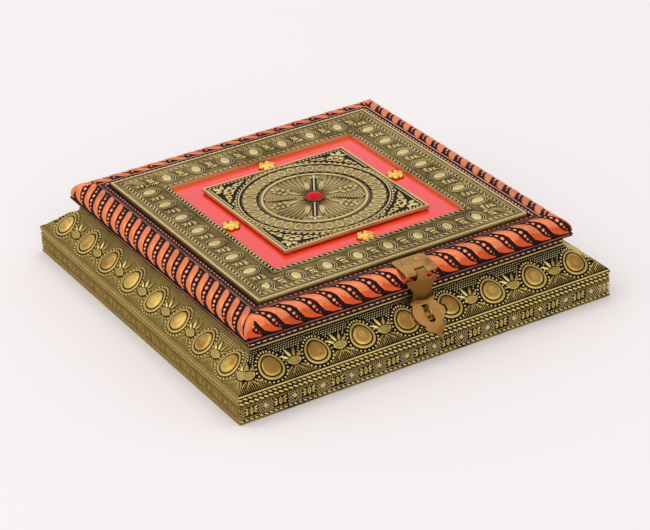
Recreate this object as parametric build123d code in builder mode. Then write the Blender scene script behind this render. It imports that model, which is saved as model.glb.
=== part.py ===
import os
from math import atan2, cos, degrees, sin, sqrt, tan

from build123d import *

os.makedirs("parts", exist_ok=True)

# All lengths are millimetres. The origin is the middle of the flat underside, +Z is up,
# and the hasp is on the -Y side.

# Base: a square tray with an upright side, a sloped shoulder and an upright neck.
# A half is half the width of a square shape, from the middle of the box to its side.
base_half = 127.0
ridge_z = 17.6
shoulder_run = 19.5
shoulder_rise = 13.9
neck_h = 6.8
rim_w = 8.5
covering_t = 0.6
covering_setback = 1.0
floor_t = 4.0
cladding_foot_z = 0.3

# Embossed sheet: its plain borders stand proud of the ground of its ornament
sheet_t = 0.5
relief = 0.6
border_w = 1.2

# Oval bosses along the shoulder, and how far each side's row stands off the middle
egg_pitch = 29.7
egg_shift = {"front": 3.75, "right": 0.55, "back": 5.95, "left": -2.65}
egg_ring_w = 13.6
egg_ring_h = 15.2
egg_rim = 1.3
egg_dome_w = 8.0
egg_dome_h = 10.2
egg_proud = 0.2
egg_taper = 30

# Inside of the base
lining_t = 1.0
partition_t = 4.0
partition_drop = 2.0
lap_clear = 0.1

# Lid: a moulding that falls a little from its crest to the channel round the frame
lid_gap = 0.3
lid_overhang = 3.5
face_h = 2.0
moulding_r = 9.8
crest_w = 4.0
crest_fall = 0.7
rope_w = 3.0
channel_w = 2.6
channel_h = 1.5
board_lap = 0.2
board_t = 6.0
ledge_w = 4.0
frame_w = 26.6
frame_h = 3.5
fit_gap = 0.2

# Panel and centre tile
panel_t = 1.1
foot_t = 0.6
foot_r = 3.0
foot_inset = 3.6
moat_w = 15.0
tile_t = 2.4
tile_skirt_lift = 0.3
bezel_r = 6.9
bezel_h = 1.3
stone_r = 5.5
stone_girdle = 0.8
stone_h = 3.0
seat_gap = 0.05

# Rosettes in the moat between tile and frame
rosette_off = 0.4
rosette_petals = 8
rosette_ring_r = 3.7
petal_r = 1.9
rosette_t = 1.4
rosette_inner_r = 2.1
inner_petal_r = 1.25
rosette_core_r = 1.5
rosette_step = 0.8

# Rear hinges, let into the seam between rim and lid
hinge_x = 62.0
hinge_w = 24.0
leaf_t = 0.9
leaf_gap = 0.1
hinge_stand = 2.2
hinge_barrel_r = 1.9
hinge_pin_r = 0.9
pin_clear = 0.05
knuckle_gap = 0.2
hinge_inset = 1.6
mortise_clear = 0.1
screw_inset = 3.3
screw_x = 7.5
screw_head_r = 1.7
screw_head_h = 0.7
screw_shank_r = 0.8
screw_length = 8.0
screw_clear = 0.05

# Hasp: a plate on the lid, a hinged leaf and a staple on the base
hasp_x = 3.2
hasp_w = 21.6
hasp_t = 0.85
hasp_barrel_r = 1.65
hasp_pin_r = 0.7
hasp_stand = 0.8
hasp_drop = 1.4
hasp_knuckle_w = 6.2
hasp_knuckle_clear = 0.25
plate_rear = 4.8
plate_front = 4.8
plate_lift = 0.3
leaf_lift = 1.0
pad_below_bend = 7.0
pad_r = 9.6
pad_foot = 7.8
slot_l = 13.2
slot_w = 4.4
staple_wire_r = 0.8
staple_span = 4.8
staple_rise = 3.2
staple_depth = 6.0
staple_plate_l = 24.6
staple_plate_w = 8.0
staple_plate_t = 0.8
staple_nail_edge = 1.4
nail_head_r = 1.2
nail_head_h = 0.5
nail_shank_r = 0.5
nail_length = 6.5
small_nail_x = (-7.6, -4.7)
small_nail_off = -0.2
dome_nail_x = 4.6
dome_nail_off = 0.4
dome_nail_r = 2.3
dome_nail_h = 1.1
nail_clear = 0.05

# Outline of the hasp's leaf above its bend: half width, and drop below the end of its shank
shank_h = 3.3
shank_half = 3.1
crown_dip = (4.6, 0.9)
crown_notch = (6.2, 0.1)
crown_lobe = (8.6, 0.2)
crown_tip = (10.0, 1.4)
crown_foot = (9.3, 4.2)
waist_curve = (7.0, 6.2)
waist = (6.35, 9.7)
flare_curve = (6.9, 12.6)
point_half = 8.6
point_rise = 1.2

# The same below its bend: half width, and distance down the slope from the pad's middle
barb = (7.0, 8.8)
barb_curve = (5.0, 11.6)
barb_foot = (2.1, 13.4)
tip = (0.5, 17.5)

# How far the cutting shapes run past the box
cut_over = 20.0

side_names = ("front", "right", "back", "left")
sides = {name: i * 360 / len(side_names) for i, name in enumerate(side_names)}
skin = sheet_t + relief
reach = base_half + cut_over
hinge_places = {"left": -hinge_x, "right": hinge_x}

# Base, from its foot to its rim
shoulder_half = base_half - shoulder_run
shoulder_z = ridge_z + shoulder_rise
rim_z = shoulder_z + neck_h
wall_inner_half = shoulder_half - rim_w
lid_half = shoulder_half + lid_overhang
egg_count = int(2 * base_half / egg_pitch)
egg_span = (egg_count - 1) * egg_pitch

# The shoulder's slope, and points on it by their distance up from the ridge
slope = atan2(shoulder_rise, shoulder_run)
slope_length = sqrt(shoulder_rise**2 + shoulder_run**2)


def on_slope(up, lift=0.0):
    """Half width and height of a point up the shoulder, lifted square off its borders."""
    half = base_half - up * cos(slope) + lift * sin(slope)
    return half, ridge_z + up * sin(slope) + lift * cos(slope)


def slope_height(half, lift=0.0):
    """Height of the shoulder at one half width, lifted square off its borders."""
    return ridge_z + (base_half - half) * tan(slope) + lift / cos(slope)


def outward(turn):
    return Vector(0, -1, 0).rotate(Axis.Z, turn)


def section_plane(turn):
    """Section through one side: x is the half width outwards, y is the height."""
    return Plane(origin=(0, 0, 0), x_dir=outward(turn), z_dir=outward(turn).cross(Vector(0, 0, 1)))


def slope_plane(turn, lift=0.0):
    """Face of one side's shoulder: x along the side, y up the slope from the ridge."""
    half, height = on_slope(0, lift)
    along = Vector(1, 0, 0).rotate(Axis.Z, turn)
    normal = outward(turn) * sin(slope) + Vector(0, 0, cos(slope))
    return Plane(origin=outward(turn) * half + Vector(0, 0, height), x_dir=along, z_dir=normal)


def mitre_wedge(turn):
    """The quarter of the box between two mitre planes."""
    along = Vector(1, 0, 0).rotate(Axis.Z, turn)
    with BuildPart() as wedge:
        with BuildSketch(Plane(origin=(0, 0, -reach), x_dir=along, z_dir=(0, 0, 1))):
            with BuildLine():
                Polyline((0, 0), (-reach, -reach), (reach, -reach), close=True)
            make_face()
        extrude(amount=2 * reach)
    return wedge.part


def countersunk_screw(grow=0.0):
    """Screw pointing down, the flat of its head at the origin, or the hole that takes it."""
    with BuildPart() as screw:
        with BuildSketch(Plane.XZ):
            with BuildLine():
                Polyline(
                    (0, 0),
                    (screw_head_r + grow, 0),
                    (screw_shank_r + grow, -screw_head_h),
                    (screw_shank_r + grow, -screw_length - grow),
                    (0, -screw_length - screw_shank_r - grow),
                    close=True,
                )
            make_face()
        revolve(axis=Axis.Z)
    return screw.part


def round_nail(head_r, head_h):
    """Nail pointing down, the underside of its domed head at the origin."""
    with BuildPart() as nail:
        with BuildSketch(Plane.XZ):
            with BuildLine():
                Line((0, head_h), (0, -nail_length))
                Polyline((0, -nail_length), (nail_shank_r, -nail_length + 2 * nail_shank_r),
                         (nail_shank_r, 0), (head_r, 0))
                RadiusArc((head_r, 0), (0, head_h), -(head_r**2 + head_h**2) / (2 * head_h))
            make_face()
        revolve(axis=Axis.Z)
    return nail.part


def save(piece, name):
    piece.part.label = name
    export_step(piece.part, f"parts/{name}.step")


# Base carcase
core_half = base_half - skin
floor_z = covering_t + floor_t
neck_half_width = shoulder_half - skin

with BuildPart() as base_covering:
    covering_w = 2 * (core_half - covering_setback)
    Box(covering_w, covering_w, covering_t, align=(Align.CENTER, Align.CENTER, Align.MIN))
save(base_covering, "base_covering")

with BuildPart() as base_floor:
    with Locations((0, 0, covering_t)):
        Box(2 * core_half, 2 * core_half, floor_t, align=(Align.CENTER, Align.CENTER, Align.MIN))
save(base_floor, "base_floor")

rail_profile = [
    (wall_inner_half, floor_z),
    (core_half, floor_z),
    (core_half, slope_height(core_half, -skin)),
    (neck_half_width, slope_height(neck_half_width, -skin)),
    (neck_half_width, rim_z),
    (wall_inner_half, rim_z),
]
cladding_profile = [
    (base_half, cladding_foot_z),
    (base_half, cladding_foot_z + border_w),
    (base_half - relief, cladding_foot_z + border_w),
    (base_half - relief, ridge_z - border_w),
    (base_half, ridge_z - border_w),
    (base_half, ridge_z),
    on_slope(border_w),
    on_slope(border_w, -relief),
    on_slope(slope_length - border_w, -relief),
    on_slope(slope_length - border_w),
    (shoulder_half, shoulder_z),
    (shoulder_half, shoulder_z + relief),
    (shoulder_half - relief, shoulder_z + 2 * relief),
    (shoulder_half - relief, rim_z),
    (neck_half_width, rim_z),
    (neck_half_width, slope_height(neck_half_width, -skin)),
    (core_half, slope_height(core_half, -skin)),
    (core_half, cladding_foot_z),
]

# Lid, from its face to the frame's window
lid_z = rim_z + lid_gap
crest_half = lid_half - moulding_r
arc_z = lid_z + face_h
crest_z = arc_z + moulding_r
rope_half = crest_half - crest_w
moulding_edge_half = rope_half - rope_w
moulding_edge_z = crest_z - crest_fall
deck_z = moulding_edge_z - channel_h
frame_half = moulding_edge_half - channel_w
frame_z = deck_z + frame_h
window_half = frame_half - frame_w
channel_half = frame_half + fit_gap
board_half = channel_half + board_lap
board_z = deck_z - board_t
lid_inner_half = board_half - ledge_w
rope_fall = crest_fall / (crest_half - moulding_edge_half)
rope_z = crest_z - crest_w * rope_fall
hasp_axis_half = lid_half + hasp_stand
hasp_axis_z = crest_z - hasp_drop

# Staple, where the hasp's slot comes down over it
leaf_inner_half = hasp_axis_half + hasp_barrel_r - hasp_t
leaf_outer_half = hasp_axis_half + hasp_barrel_r
leaf_top_lift = leaf_lift + hasp_t
bend_up = (base_half - leaf_outer_half + leaf_top_lift * sin(slope)) / cos(slope)
bend_z = slope_height(leaf_outer_half, leaf_top_lift)
pad_up = bend_up - pad_below_bend
staple_half, staple_z = on_slope(pad_up)
staple_plane = Plane(
    origin=(hasp_x, -staple_half, staple_z),
    x_dir=(0, -cos(slope), -sin(slope)),
    z_dir=(-1, 0, 0),
)
staple_nail_x = staple_plate_l / 2 - nail_head_r - staple_nail_edge
staple_plate_top = staple_plate_t - relief
staple_tilt = degrees(slope)


def staple_wire(grow=0.0):
    """Bent wire of the staple, or with grow the holes that take its legs."""
    leg = staple_span / 2
    with BuildPart() as wire:
        with BuildLine(staple_plane) as bend:
            Line((-leg, -staple_depth - grow), (-leg, staple_rise))
            ThreePointArc((-leg, staple_rise), (0, staple_rise + leg), (leg, staple_rise))
            Line((leg, staple_rise), (leg, -staple_depth - grow))
        with BuildSketch(Plane(origin=bend.line @ 0, z_dir=bend.line % 0)):
            Circle(staple_wire_r + grow)
        sweep()
    return wire.part


def staple_nail_locations(grow=0.0):
    """Where the two nails of the staple's plate stand, square to the shoulder."""
    half, height = on_slope(pad_up, staple_plate_top + grow)
    return [
        Location((hasp_x + side * staple_nail_x, -half, height), (staple_tilt, 0, 0))
        for side in (-1, 1)
    ]


def nail_hole(head_clear):
    """Hole for a nail's shank, open above it."""
    with BuildPart() as hole:
        with Locations((0, 0, -nail_length - nail_clear)):
            Cylinder(
                nail_shank_r + nail_clear,
                nail_length + nail_clear + head_clear,
                align=(Align.CENTER, Align.CENTER, Align.MIN),
            )
    return hole.part


with BuildPart() as staple_plate:
    with BuildSketch(slope_plane(0, -relief)):
        with Locations((hasp_x, pad_up)):
            SlotOverall(staple_plate_l, staple_plate_w)
    extrude(amount=staple_plate_t)
    with Locations(*staple_nail_locations()):
        add(nail_hole(staple_plate_t), mode=Mode.SUBTRACT)
    add(staple_wire(nail_clear), mode=Mode.SUBTRACT)
save(staple_plate, "staple_plate")

with BuildPart() as staple:
    add(staple_wire())
save(staple, "staple")

with BuildPart() as staple_nails:
    with Locations(*staple_nail_locations()):
        add(round_nail(nail_head_r, nail_head_h))
save(staple_nails, "staple_nails")

# Hinge seats in the rim, and the screws that hold the base leaves
hinge_axis_half = lid_half + hinge_stand
hinge_axis_z = rim_z + lid_gap / 2
hinge_leaf_inner_half = wall_inner_half + hinge_inset
screw_half = hinge_leaf_inner_half + screw_inset
base_leaf_top = hinge_axis_z - leaf_gap / 2
lid_leaf_foot = hinge_axis_z + leaf_gap / 2
mortise_w = hinge_w + 2 * mortise_clear
mortise_l = reach - hinge_leaf_inner_half + mortise_clear
hinge_centres = [(x, hinge_leaf_inner_half - mortise_clear) for x in hinge_places.values()]
screw_centres = [(x + dx, screw_half) for x in hinge_places.values() for dx in (-screw_x, screw_x)]

for name, turn in sides.items():
    with BuildPart() as base_rail:
        with BuildSketch(section_plane(turn)):
            with BuildLine():
                Polyline(*rail_profile, close=True)
            make_face()
        extrude(amount=reach, both=True)
        add(mitre_wedge(turn), mode=Mode.INTERSECT)
        if name == "back":
            with Locations(*[(x, y, base_leaf_top - leaf_t) for x, y in hinge_centres]):
                Box(mortise_w, mortise_l, reach, align=(Align.CENTER, Align.MIN, Align.MIN),
                    mode=Mode.SUBTRACT)
            with Locations(*[(x, y, base_leaf_top) for x, y in screw_centres]):
                add(countersunk_screw(screw_clear), mode=Mode.SUBTRACT)
        if name == "front":
            with Locations(*staple_nail_locations()):
                add(nail_hole(0), mode=Mode.SUBTRACT)
            add(staple_wire(nail_clear), mode=Mode.SUBTRACT)
    save(base_rail, f"base_rail_{name}")

    egg_start = egg_shift[name] - egg_span / 2
    egg_places = [(egg_start + i * egg_pitch, slope_length / 2) for i in range(egg_count)]
    with BuildPart() as base_cladding:
        with BuildSketch(section_plane(turn)):
            with BuildLine():
                Polyline(*cladding_profile, close=True)
            make_face()
        extrude(amount=reach, both=True)
        with BuildSketch(slope_plane(turn, -relief)):
            with Locations(*egg_places):
                Ellipse(egg_ring_w / 2, egg_ring_h / 2)
                Ellipse(egg_ring_w / 2 - egg_rim, egg_ring_h / 2 - egg_rim, mode=Mode.SUBTRACT)
        extrude(amount=relief + egg_proud)
        with BuildSketch(slope_plane(turn, -relief)):
            with Locations(*egg_places):
                Ellipse(egg_dome_w / 2, egg_dome_h / 2)
        extrude(amount=relief + 2 * egg_proud, taper=egg_taper)
        add(mitre_wedge(turn), mode=Mode.INTERSECT)
        if name == "back":
            with Locations(*[(x, y, base_leaf_top - leaf_t) for x, y in hinge_centres]):
                Box(mortise_w, mortise_l, reach, align=(Align.CENTER, Align.MIN, Align.MIN),
                    mode=Mode.SUBTRACT)
        if name == "front":
            with BuildSketch(slope_plane(turn, -relief)):
                with Locations((hasp_x, pad_up)):
                    SlotOverall(staple_plate_l + 2 * nail_clear, staple_plate_w + 2 * nail_clear)
            extrude(amount=2 * relief, mode=Mode.SUBTRACT)
            with Locations(*staple_nail_locations()):
                add(nail_hole(0), mode=Mode.SUBTRACT)
            add(staple_wire(nail_clear), mode=Mode.SUBTRACT)
    save(base_cladding, f"base_cladding_{name}")

# Velvet inside the base, and the two boards that part it into four
with BuildPart() as floor_lining:
    with Locations((0, 0, floor_z)):
        Box(2 * wall_inner_half, 2 * wall_inner_half, lining_t,
            align=(Align.CENTER, Align.CENTER, Align.MIN))
save(floor_lining, "floor_lining")

lining_z = floor_z + lining_t
lining_half = wall_inner_half - lining_t
with BuildPart() as wall_lining:
    with BuildSketch(Plane.XY.offset(lining_z)):
        Rectangle(2 * wall_inner_half, 2 * wall_inner_half)
        Rectangle(2 * lining_half, 2 * lining_half, mode=Mode.SUBTRACT)
    extrude(amount=rim_z - lid_gap - lining_z)
save(wall_lining, "wall_lining")

partition_h = rim_z - partition_drop - lining_z
lap_z = lining_z + partition_h / 2
for name, turn, lap_low in (("partition_long", 0, False), ("partition_cross", 90, True)):
    with BuildPart() as partition:
        with Locations(Location((0, 0, lining_z), (0, 0, turn))):
            Box(2 * lining_half, partition_t, partition_h,
                align=(Align.CENTER, Align.CENTER, Align.MIN))
        with Locations((0, 0, lap_z)):
            side = Align.MAX if lap_low else Align.MIN
            Box(partition_t + 2 * lap_clear, partition_t + 2 * lap_clear, partition_h,
                align=(Align.CENTER, Align.CENTER, side), mode=Mode.SUBTRACT)
    save(partition, name)

# Lid carcase: a mitred moulding with a board let into it from above
diagonal = sqrt(0.5)


def moulding_arc(depth):
    """Quarter round of the moulding, from its face to its crest, below its borders."""
    radius = moulding_r - depth
    return ThreePointArc(
        (crest_half + radius, arc_z),
        (crest_half + radius * diagonal, arc_z + radius * diagonal),
        (crest_half, arc_z + radius),
    )


with BuildPart() as lid_board:
    with Locations((0, 0, board_z)):
        Box(2 * board_half, 2 * board_half, board_t, align=(Align.CENTER, Align.CENTER, Align.MIN))
save(lid_board, "lid_board")

plate_z = crest_z + plate_lift
plate_rear_half = crest_half - plate_rear
plate_fold_half = crest_half + plate_front
small_nail_half = crest_half + small_nail_off
dome_nail_half = crest_half + dome_nail_off
hasp_nail_places = [(hasp_x + x, -small_nail_half, plate_z + hasp_t) for x in small_nail_x]
dome_nail_place = (hasp_x + dome_nail_x, -dome_nail_half, plate_z + hasp_t)

for name, turn in sides.items():
    with BuildPart() as lid_rail:
        with BuildSketch(section_plane(turn)):
            with BuildLine():
                Line((lid_half - skin, lid_z), (lid_half - skin, arc_z))
                moulding_arc(skin)
                Polyline(
                    (crest_half, crest_z - skin),
                    (moulding_edge_half, deck_z),
                    (board_half, deck_z),
                    (board_half, board_z),
                    (lid_inner_half, board_z),
                    (lid_inner_half, lid_z),
                    (lid_half - skin, lid_z),
                )
            make_face()
        extrude(amount=reach, both=True)
        add(mitre_wedge(turn), mode=Mode.INTERSECT)
        if name == "back":
            with Locations(*[(x, y, lid_leaf_foot + leaf_t) for x, y in hinge_centres]):
                Box(mortise_w, mortise_l, reach, align=(Align.CENTER, Align.MIN, Align.MAX),
                    mode=Mode.SUBTRACT)
            with Locations(*[Location((x, y, lid_leaf_foot), (180, 0, 0)) for x, y in screw_centres]):
                add(countersunk_screw(screw_clear), mode=Mode.SUBTRACT)
        if name == "front":
            with Locations(*hasp_nail_places, dome_nail_place):
                add(nail_hole(0), mode=Mode.SUBTRACT)
    save(lid_rail, f"lid_rail_{name}")

    with BuildPart() as lid_cladding:
        with BuildSketch(section_plane(turn)):
            with BuildLine():
                Polyline(
                    (lid_half - skin, arc_z),
                    (lid_half - skin, lid_z),
                    (lid_half, lid_z),
                    (lid_half, arc_z - relief),
                    (lid_half - relief, arc_z - relief),
                    (lid_half - relief, arc_z),
                )
                moulding_arc(relief)
                Polyline(
                    (crest_half, crest_z - relief),
                    (rope_half, rope_z - relief),
                    (rope_half, rope_z),
                    (moulding_edge_half, moulding_edge_z),
                    (moulding_edge_half - sheet_t, deck_z + sheet_t),
                    (channel_half, deck_z + sheet_t),
                    (channel_half, deck_z),
                    (moulding_edge_half, deck_z),
                    (crest_half, crest_z - skin),
                )
                moulding_arc(skin)
            make_face()
        extrude(amount=reach, both=True)
        add(mitre_wedge(turn), mode=Mode.INTERSECT)
        if name == "back":
            with Locations(*[(x, y, lid_leaf_foot + leaf_t) for x, y in hinge_centres]):
                Box(mortise_w, mortise_l, reach, align=(Align.CENTER, Align.MIN, Align.MAX),
                    mode=Mode.SUBTRACT)
        if name == "front":
            with Locations(*hasp_nail_places, dome_nail_place):
                add(nail_hole(0), mode=Mode.SUBTRACT)
    save(lid_cladding, f"lid_cladding_{name}")

# Raised frame on the lid: wood strips under an embossed sheet
strip_z = frame_z - skin
for name, turn in sides.items():
    with BuildPart() as frame_strip:
        with BuildSketch(section_plane(turn)):
            with BuildLine():
                Polyline(
                    (window_half + sheet_t, deck_z),
                    (frame_half - sheet_t, deck_z),
                    (frame_half - sheet_t, strip_z),
                    (window_half + sheet_t, strip_z),
                    close=True,
                )
            make_face()
        extrude(amount=reach, both=True)
        add(mitre_wedge(turn), mode=Mode.INTERSECT)
    save(frame_strip, f"frame_strip_{name}")

    with BuildPart() as frame_cladding:
        with BuildSketch(section_plane(turn)):
            with BuildLine():
                Polyline(
                    (window_half, deck_z),
                    (window_half, frame_z),
                    (window_half + border_w, frame_z),
                    (window_half + border_w, frame_z - relief),
                    (frame_half - border_w, frame_z - relief),
                    (frame_half - border_w, frame_z),
                    (frame_half, frame_z),
                    (frame_half, deck_z),
                    (frame_half - sheet_t, deck_z),
                    (frame_half - sheet_t, strip_z),
                    (window_half + sheet_t, strip_z),
                    (window_half + sheet_t, deck_z),
                    close=True,
                )
            make_face()
        extrude(amount=reach, both=True)
        add(mitre_wedge(turn), mode=Mode.INTERSECT)
    save(frame_cladding, f"frame_cladding_{name}")

# Red panel in the frame's window, and the centre tile on four feet
panel_half = window_half - fit_gap
panel_z = deck_z + panel_t
with BuildPart() as red_panel:
    with Locations((0, 0, deck_z)):
        Box(2 * panel_half, 2 * panel_half, panel_t, align=(Align.CENTER, Align.CENTER, Align.MIN))
save(red_panel, "red_panel")

tile_half = window_half - moat_w
foot_at = tile_half - foot_inset
with BuildPart() as tile_feet:
    with Locations((0, 0, panel_z)):
        with GridLocations(2 * foot_at, 2 * foot_at, 2, 2):
            Cylinder(foot_r, foot_t, align=(Align.CENTER, Align.CENTER, Align.MIN))
save(tile_feet, "tile_feet")

tile_foot_z = panel_z + foot_t
tile_z = tile_foot_z + tile_t
tile_ground_z = tile_z - relief
with BuildPart() as tile_board:
    with Locations((0, 0, tile_foot_z)):
        Box(2 * (tile_half - sheet_t), 2 * (tile_half - sheet_t), tile_t - skin,
            align=(Align.CENTER, Align.CENTER, Align.MIN))
save(tile_board, "tile_board")

with BuildPart() as centre_tile:
    with BuildSketch(Plane.XY.offset(tile_foot_z + tile_skirt_lift)):
        Rectangle(2 * tile_half, 2 * tile_half)
    extrude(amount=tile_t - tile_skirt_lift)
    with BuildSketch(Plane.XY.offset(tile_foot_z)):
        Rectangle(2 * (tile_half - sheet_t), 2 * (tile_half - sheet_t))
    extrude(amount=tile_t - skin, mode=Mode.SUBTRACT)
    with BuildSketch(Plane.XY.offset(tile_ground_z)):
        Rectangle(2 * (tile_half - border_w), 2 * (tile_half - border_w))
    extrude(amount=relief, mode=Mode.SUBTRACT)
save(centre_tile, "centre_tile")

with BuildPart() as stone_bezel:
    with BuildSketch(Plane.XY.offset(tile_ground_z)):
        Circle(bezel_r)
        Circle(stone_r + seat_gap, mode=Mode.SUBTRACT)
    extrude(amount=bezel_h)
    fillet(stone_bezel.edges().group_by(Axis.Z)[-1], radius=(bezel_r - stone_r) / 4)
save(stone_bezel, "stone_bezel")

with BuildPart() as stone:
    with BuildSketch(Plane.XZ):
        with BuildLine():
            dome = stone_h - stone_girdle
            Polyline((0, stone_h), (0, 0), (stone_r, 0), (stone_r, stone_girdle))
            RadiusArc((stone_r, stone_girdle), (0, stone_h), -(stone_r**2 + dome**2) / (2 * dome))
        make_face()
    revolve(axis=Axis.Z)
with BuildPart() as centre_stone:
    with Locations((0, 0, tile_ground_z)):
        add(stone)
save(centre_stone, "centre_stone")

rosette_at = (tile_half + window_half) / 2 + rosette_off
for name, turn in sides.items():
    centre = outward(turn) * rosette_at
    with BuildPart() as rosette:
        with BuildSketch(Plane.XY.offset(panel_z)):
            with Locations((centre.X, centre.Y)):
                Circle(rosette_ring_r)
                with PolarLocations(rosette_ring_r, rosette_petals):
                    Circle(petal_r)
        extrude(amount=rosette_t)
        with BuildSketch(Plane.XY.offset(panel_z + rosette_t)):
            with Locations((centre.X, centre.Y)):
                Circle(rosette_inner_r)
                with PolarLocations(rosette_inner_r, rosette_petals, start_angle=180 / rosette_petals):
                    Circle(inner_petal_r)
        extrude(amount=rosette_step)
        with BuildSketch(Plane.XY.offset(panel_z + rosette_t + rosette_step)):
            with Locations((centre.X, centre.Y)):
                Circle(rosette_core_r)
        extrude(amount=rosette_step)
    save(rosette, f"rosette_{name}")

# Velvet under the lid's board
with BuildPart() as lid_lining:
    with Locations((0, 0, board_z)):
        Box(2 * (lid_inner_half - fit_gap), 2 * (lid_inner_half - fit_gap), lining_t,
            align=(Align.CENTER, Align.CENTER, Align.MAX))
save(lid_lining, "lid_lining")

# Rear hinges
knuckle_w = hinge_w / 3
leaf_edge_half = hinge_axis_half - hinge_barrel_r - fit_gap
bore_r = hinge_pin_r + pin_clear


def hinge_leaf(centre_x, leaf_foot, knuckles):
    """Flat leaf with its knuckles: each is (offset of its middle, its width)."""
    with BuildPart() as leaf:
        with Locations((centre_x, hinge_leaf_inner_half, leaf_foot)):
            Box(hinge_w, leaf_edge_half - hinge_leaf_inner_half, leaf_t,
                align=(Align.CENTER, Align.MIN, Align.MIN))
        for offset, width in knuckles:
            with Locations((centre_x + offset, leaf_edge_half, leaf_foot)):
                Box(width, hinge_axis_half - leaf_edge_half, leaf_t,
                    align=(Align.CENTER, Align.MIN, Align.MIN))
            with Locations(Location((centre_x + offset, hinge_axis_half, hinge_axis_z), (0, 90, 0))):
                Cylinder(hinge_barrel_r, width)
                Cylinder(bore_r, width, mode=Mode.SUBTRACT)
    return leaf.part


for name, centre_x in hinge_places.items():
    screw_xs = [centre_x - screw_x, centre_x + screw_x]
    outer_w = knuckle_w - knuckle_gap / 2
    outer_at = (hinge_w - outer_w) / 2
    with BuildPart() as hinge_base_leaf:
        add(hinge_leaf(centre_x, base_leaf_top - leaf_t, [(-outer_at, outer_w), (outer_at, outer_w)]))
        with Locations(*[(x, screw_half, base_leaf_top) for x in screw_xs]):
            add(countersunk_screw(screw_clear), mode=Mode.SUBTRACT)
    save(hinge_base_leaf, f"hinge_base_leaf_{name}")

    with BuildPart() as hinge_lid_leaf:
        add(hinge_leaf(centre_x, lid_leaf_foot, [(0, knuckle_w - knuckle_gap)]))
        with Locations(*[Location((x, screw_half, lid_leaf_foot), (180, 0, 0)) for x in screw_xs]):
            add(countersunk_screw(screw_clear), mode=Mode.SUBTRACT)
    save(hinge_lid_leaf, f"hinge_lid_leaf_{name}")

    with BuildPart() as hinge_pin:
        with Locations(Location((centre_x, hinge_axis_half, hinge_axis_z), (0, 90, 0))):
            Cylinder(hinge_pin_r, hinge_w)
    save(hinge_pin, f"hinge_pin_{name}")

with BuildPart() as hinge_screws_base:
    with Locations(*[(x, y, base_leaf_top) for x, y in screw_centres]):
        add(countersunk_screw())
save(hinge_screws_base, "hinge_screws_base")

with BuildPart() as hinge_screws_lid:
    with Locations(*[Location((x, y, lid_leaf_foot), (180, 0, 0)) for x, y in screw_centres]):
        add(countersunk_screw())
save(hinge_screws_lid, "hinge_screws_lid")

# Hasp plate, folded over the moulding's crest to the barrel
hasp_bore_r = hasp_pin_r + pin_clear
barrel_top_z = hasp_axis_z + hasp_barrel_r
with BuildPart() as hasp_plate:
    with BuildSketch(Plane.YZ.offset(hasp_x)):
        with BuildLine():
            Polyline(
                (-plate_rear_half, plate_z),
                (-plate_fold_half, plate_z),
                (-hasp_axis_half, barrel_top_z - hasp_t),
                (-hasp_axis_half, barrel_top_z),
                (-plate_fold_half, plate_z + hasp_t),
                (-plate_rear_half, plate_z + hasp_t),
                close=True,
            )
        make_face()
        with Locations((-hasp_axis_half, hasp_axis_z)):
            Circle(hasp_barrel_r)
            Circle(hasp_bore_r, mode=Mode.SUBTRACT)
    extrude(amount=hasp_w / 2, both=True)
    with Locations((hasp_x, -hasp_axis_half, hasp_axis_z)):
        notch = 2 * (hasp_barrel_r + hasp_knuckle_clear)
        Box(hasp_knuckle_w + 2 * hasp_knuckle_clear, notch, 2 * notch, mode=Mode.SUBTRACT)
    with Locations(*hasp_nail_places, dome_nail_place):
        add(nail_hole(hasp_t), mode=Mode.SUBTRACT)
    rear_corners = hasp_plate.edges().filter_by(Axis.Z).group_by(Axis.Y)[-1]
    chamfer(rear_corners, length=2 * hasp_t)
save(hasp_plate, "hasp_plate")

with BuildPart() as hasp_nails:
    with Locations(*hasp_nail_places):
        add(round_nail(nail_head_r, nail_head_h))
save(hasp_nails, "hasp_nails")

with BuildPart() as hasp_dome_nail:
    with Locations(dome_nail_place):
        add(round_nail(dome_nail_r, dome_nail_h))
save(hasp_dome_nail, "hasp_dome_nail")

with BuildPart() as hasp_pin:
    with Locations(Location((hasp_x, -hasp_axis_half, hasp_axis_z), (0, 90, 0))):
        Cylinder(hasp_pin_r, hasp_w)
save(hasp_pin, "hasp_pin")

# Hasp leaf: a bent strip with a rolled knuckle, cut to a crown, a round pad and a barbed tip
shank_z = hasp_axis_z - shank_h
outline_top_z = hasp_axis_z + 2 * hasp_barrel_r
point_z = bend_z + point_rise
pad_foot_half = sqrt(pad_r**2 - pad_foot**2)
pad_head_half = sqrt(pad_r**2 - pad_below_bend**2)


def below_shank(point):
    return point[0], shank_z - point[1]


def below_pad(point):
    return point[0], pad_up - point[1]


with BuildPart() as upper_outline:
    with BuildSketch(Plane.XZ.offset(hasp_axis_half - hasp_barrel_r)):
        with BuildLine():
            Polyline((0, outline_top_z), (shank_half, outline_top_z), (shank_half, shank_z))
            ThreePointArc((shank_half, shank_z), below_shank(crown_dip), below_shank(crown_notch))
            ThreePointArc(below_shank(crown_notch), below_shank(crown_lobe), below_shank(crown_tip))
            Line(below_shank(crown_tip), below_shank(crown_foot))
            ThreePointArc(below_shank(crown_foot), below_shank(waist_curve), below_shank(waist))
            ThreePointArc(below_shank(waist), below_shank(flare_curve), (point_half, point_z))
            Polyline((point_half, point_z), (pad_head_half, bend_z - hasp_t), (0, bend_z - hasp_t),
                     (0, outline_top_z))
        make_face()
        mirror(about=Plane.YZ)
    extrude(amount=3 * hasp_barrel_r)

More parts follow.
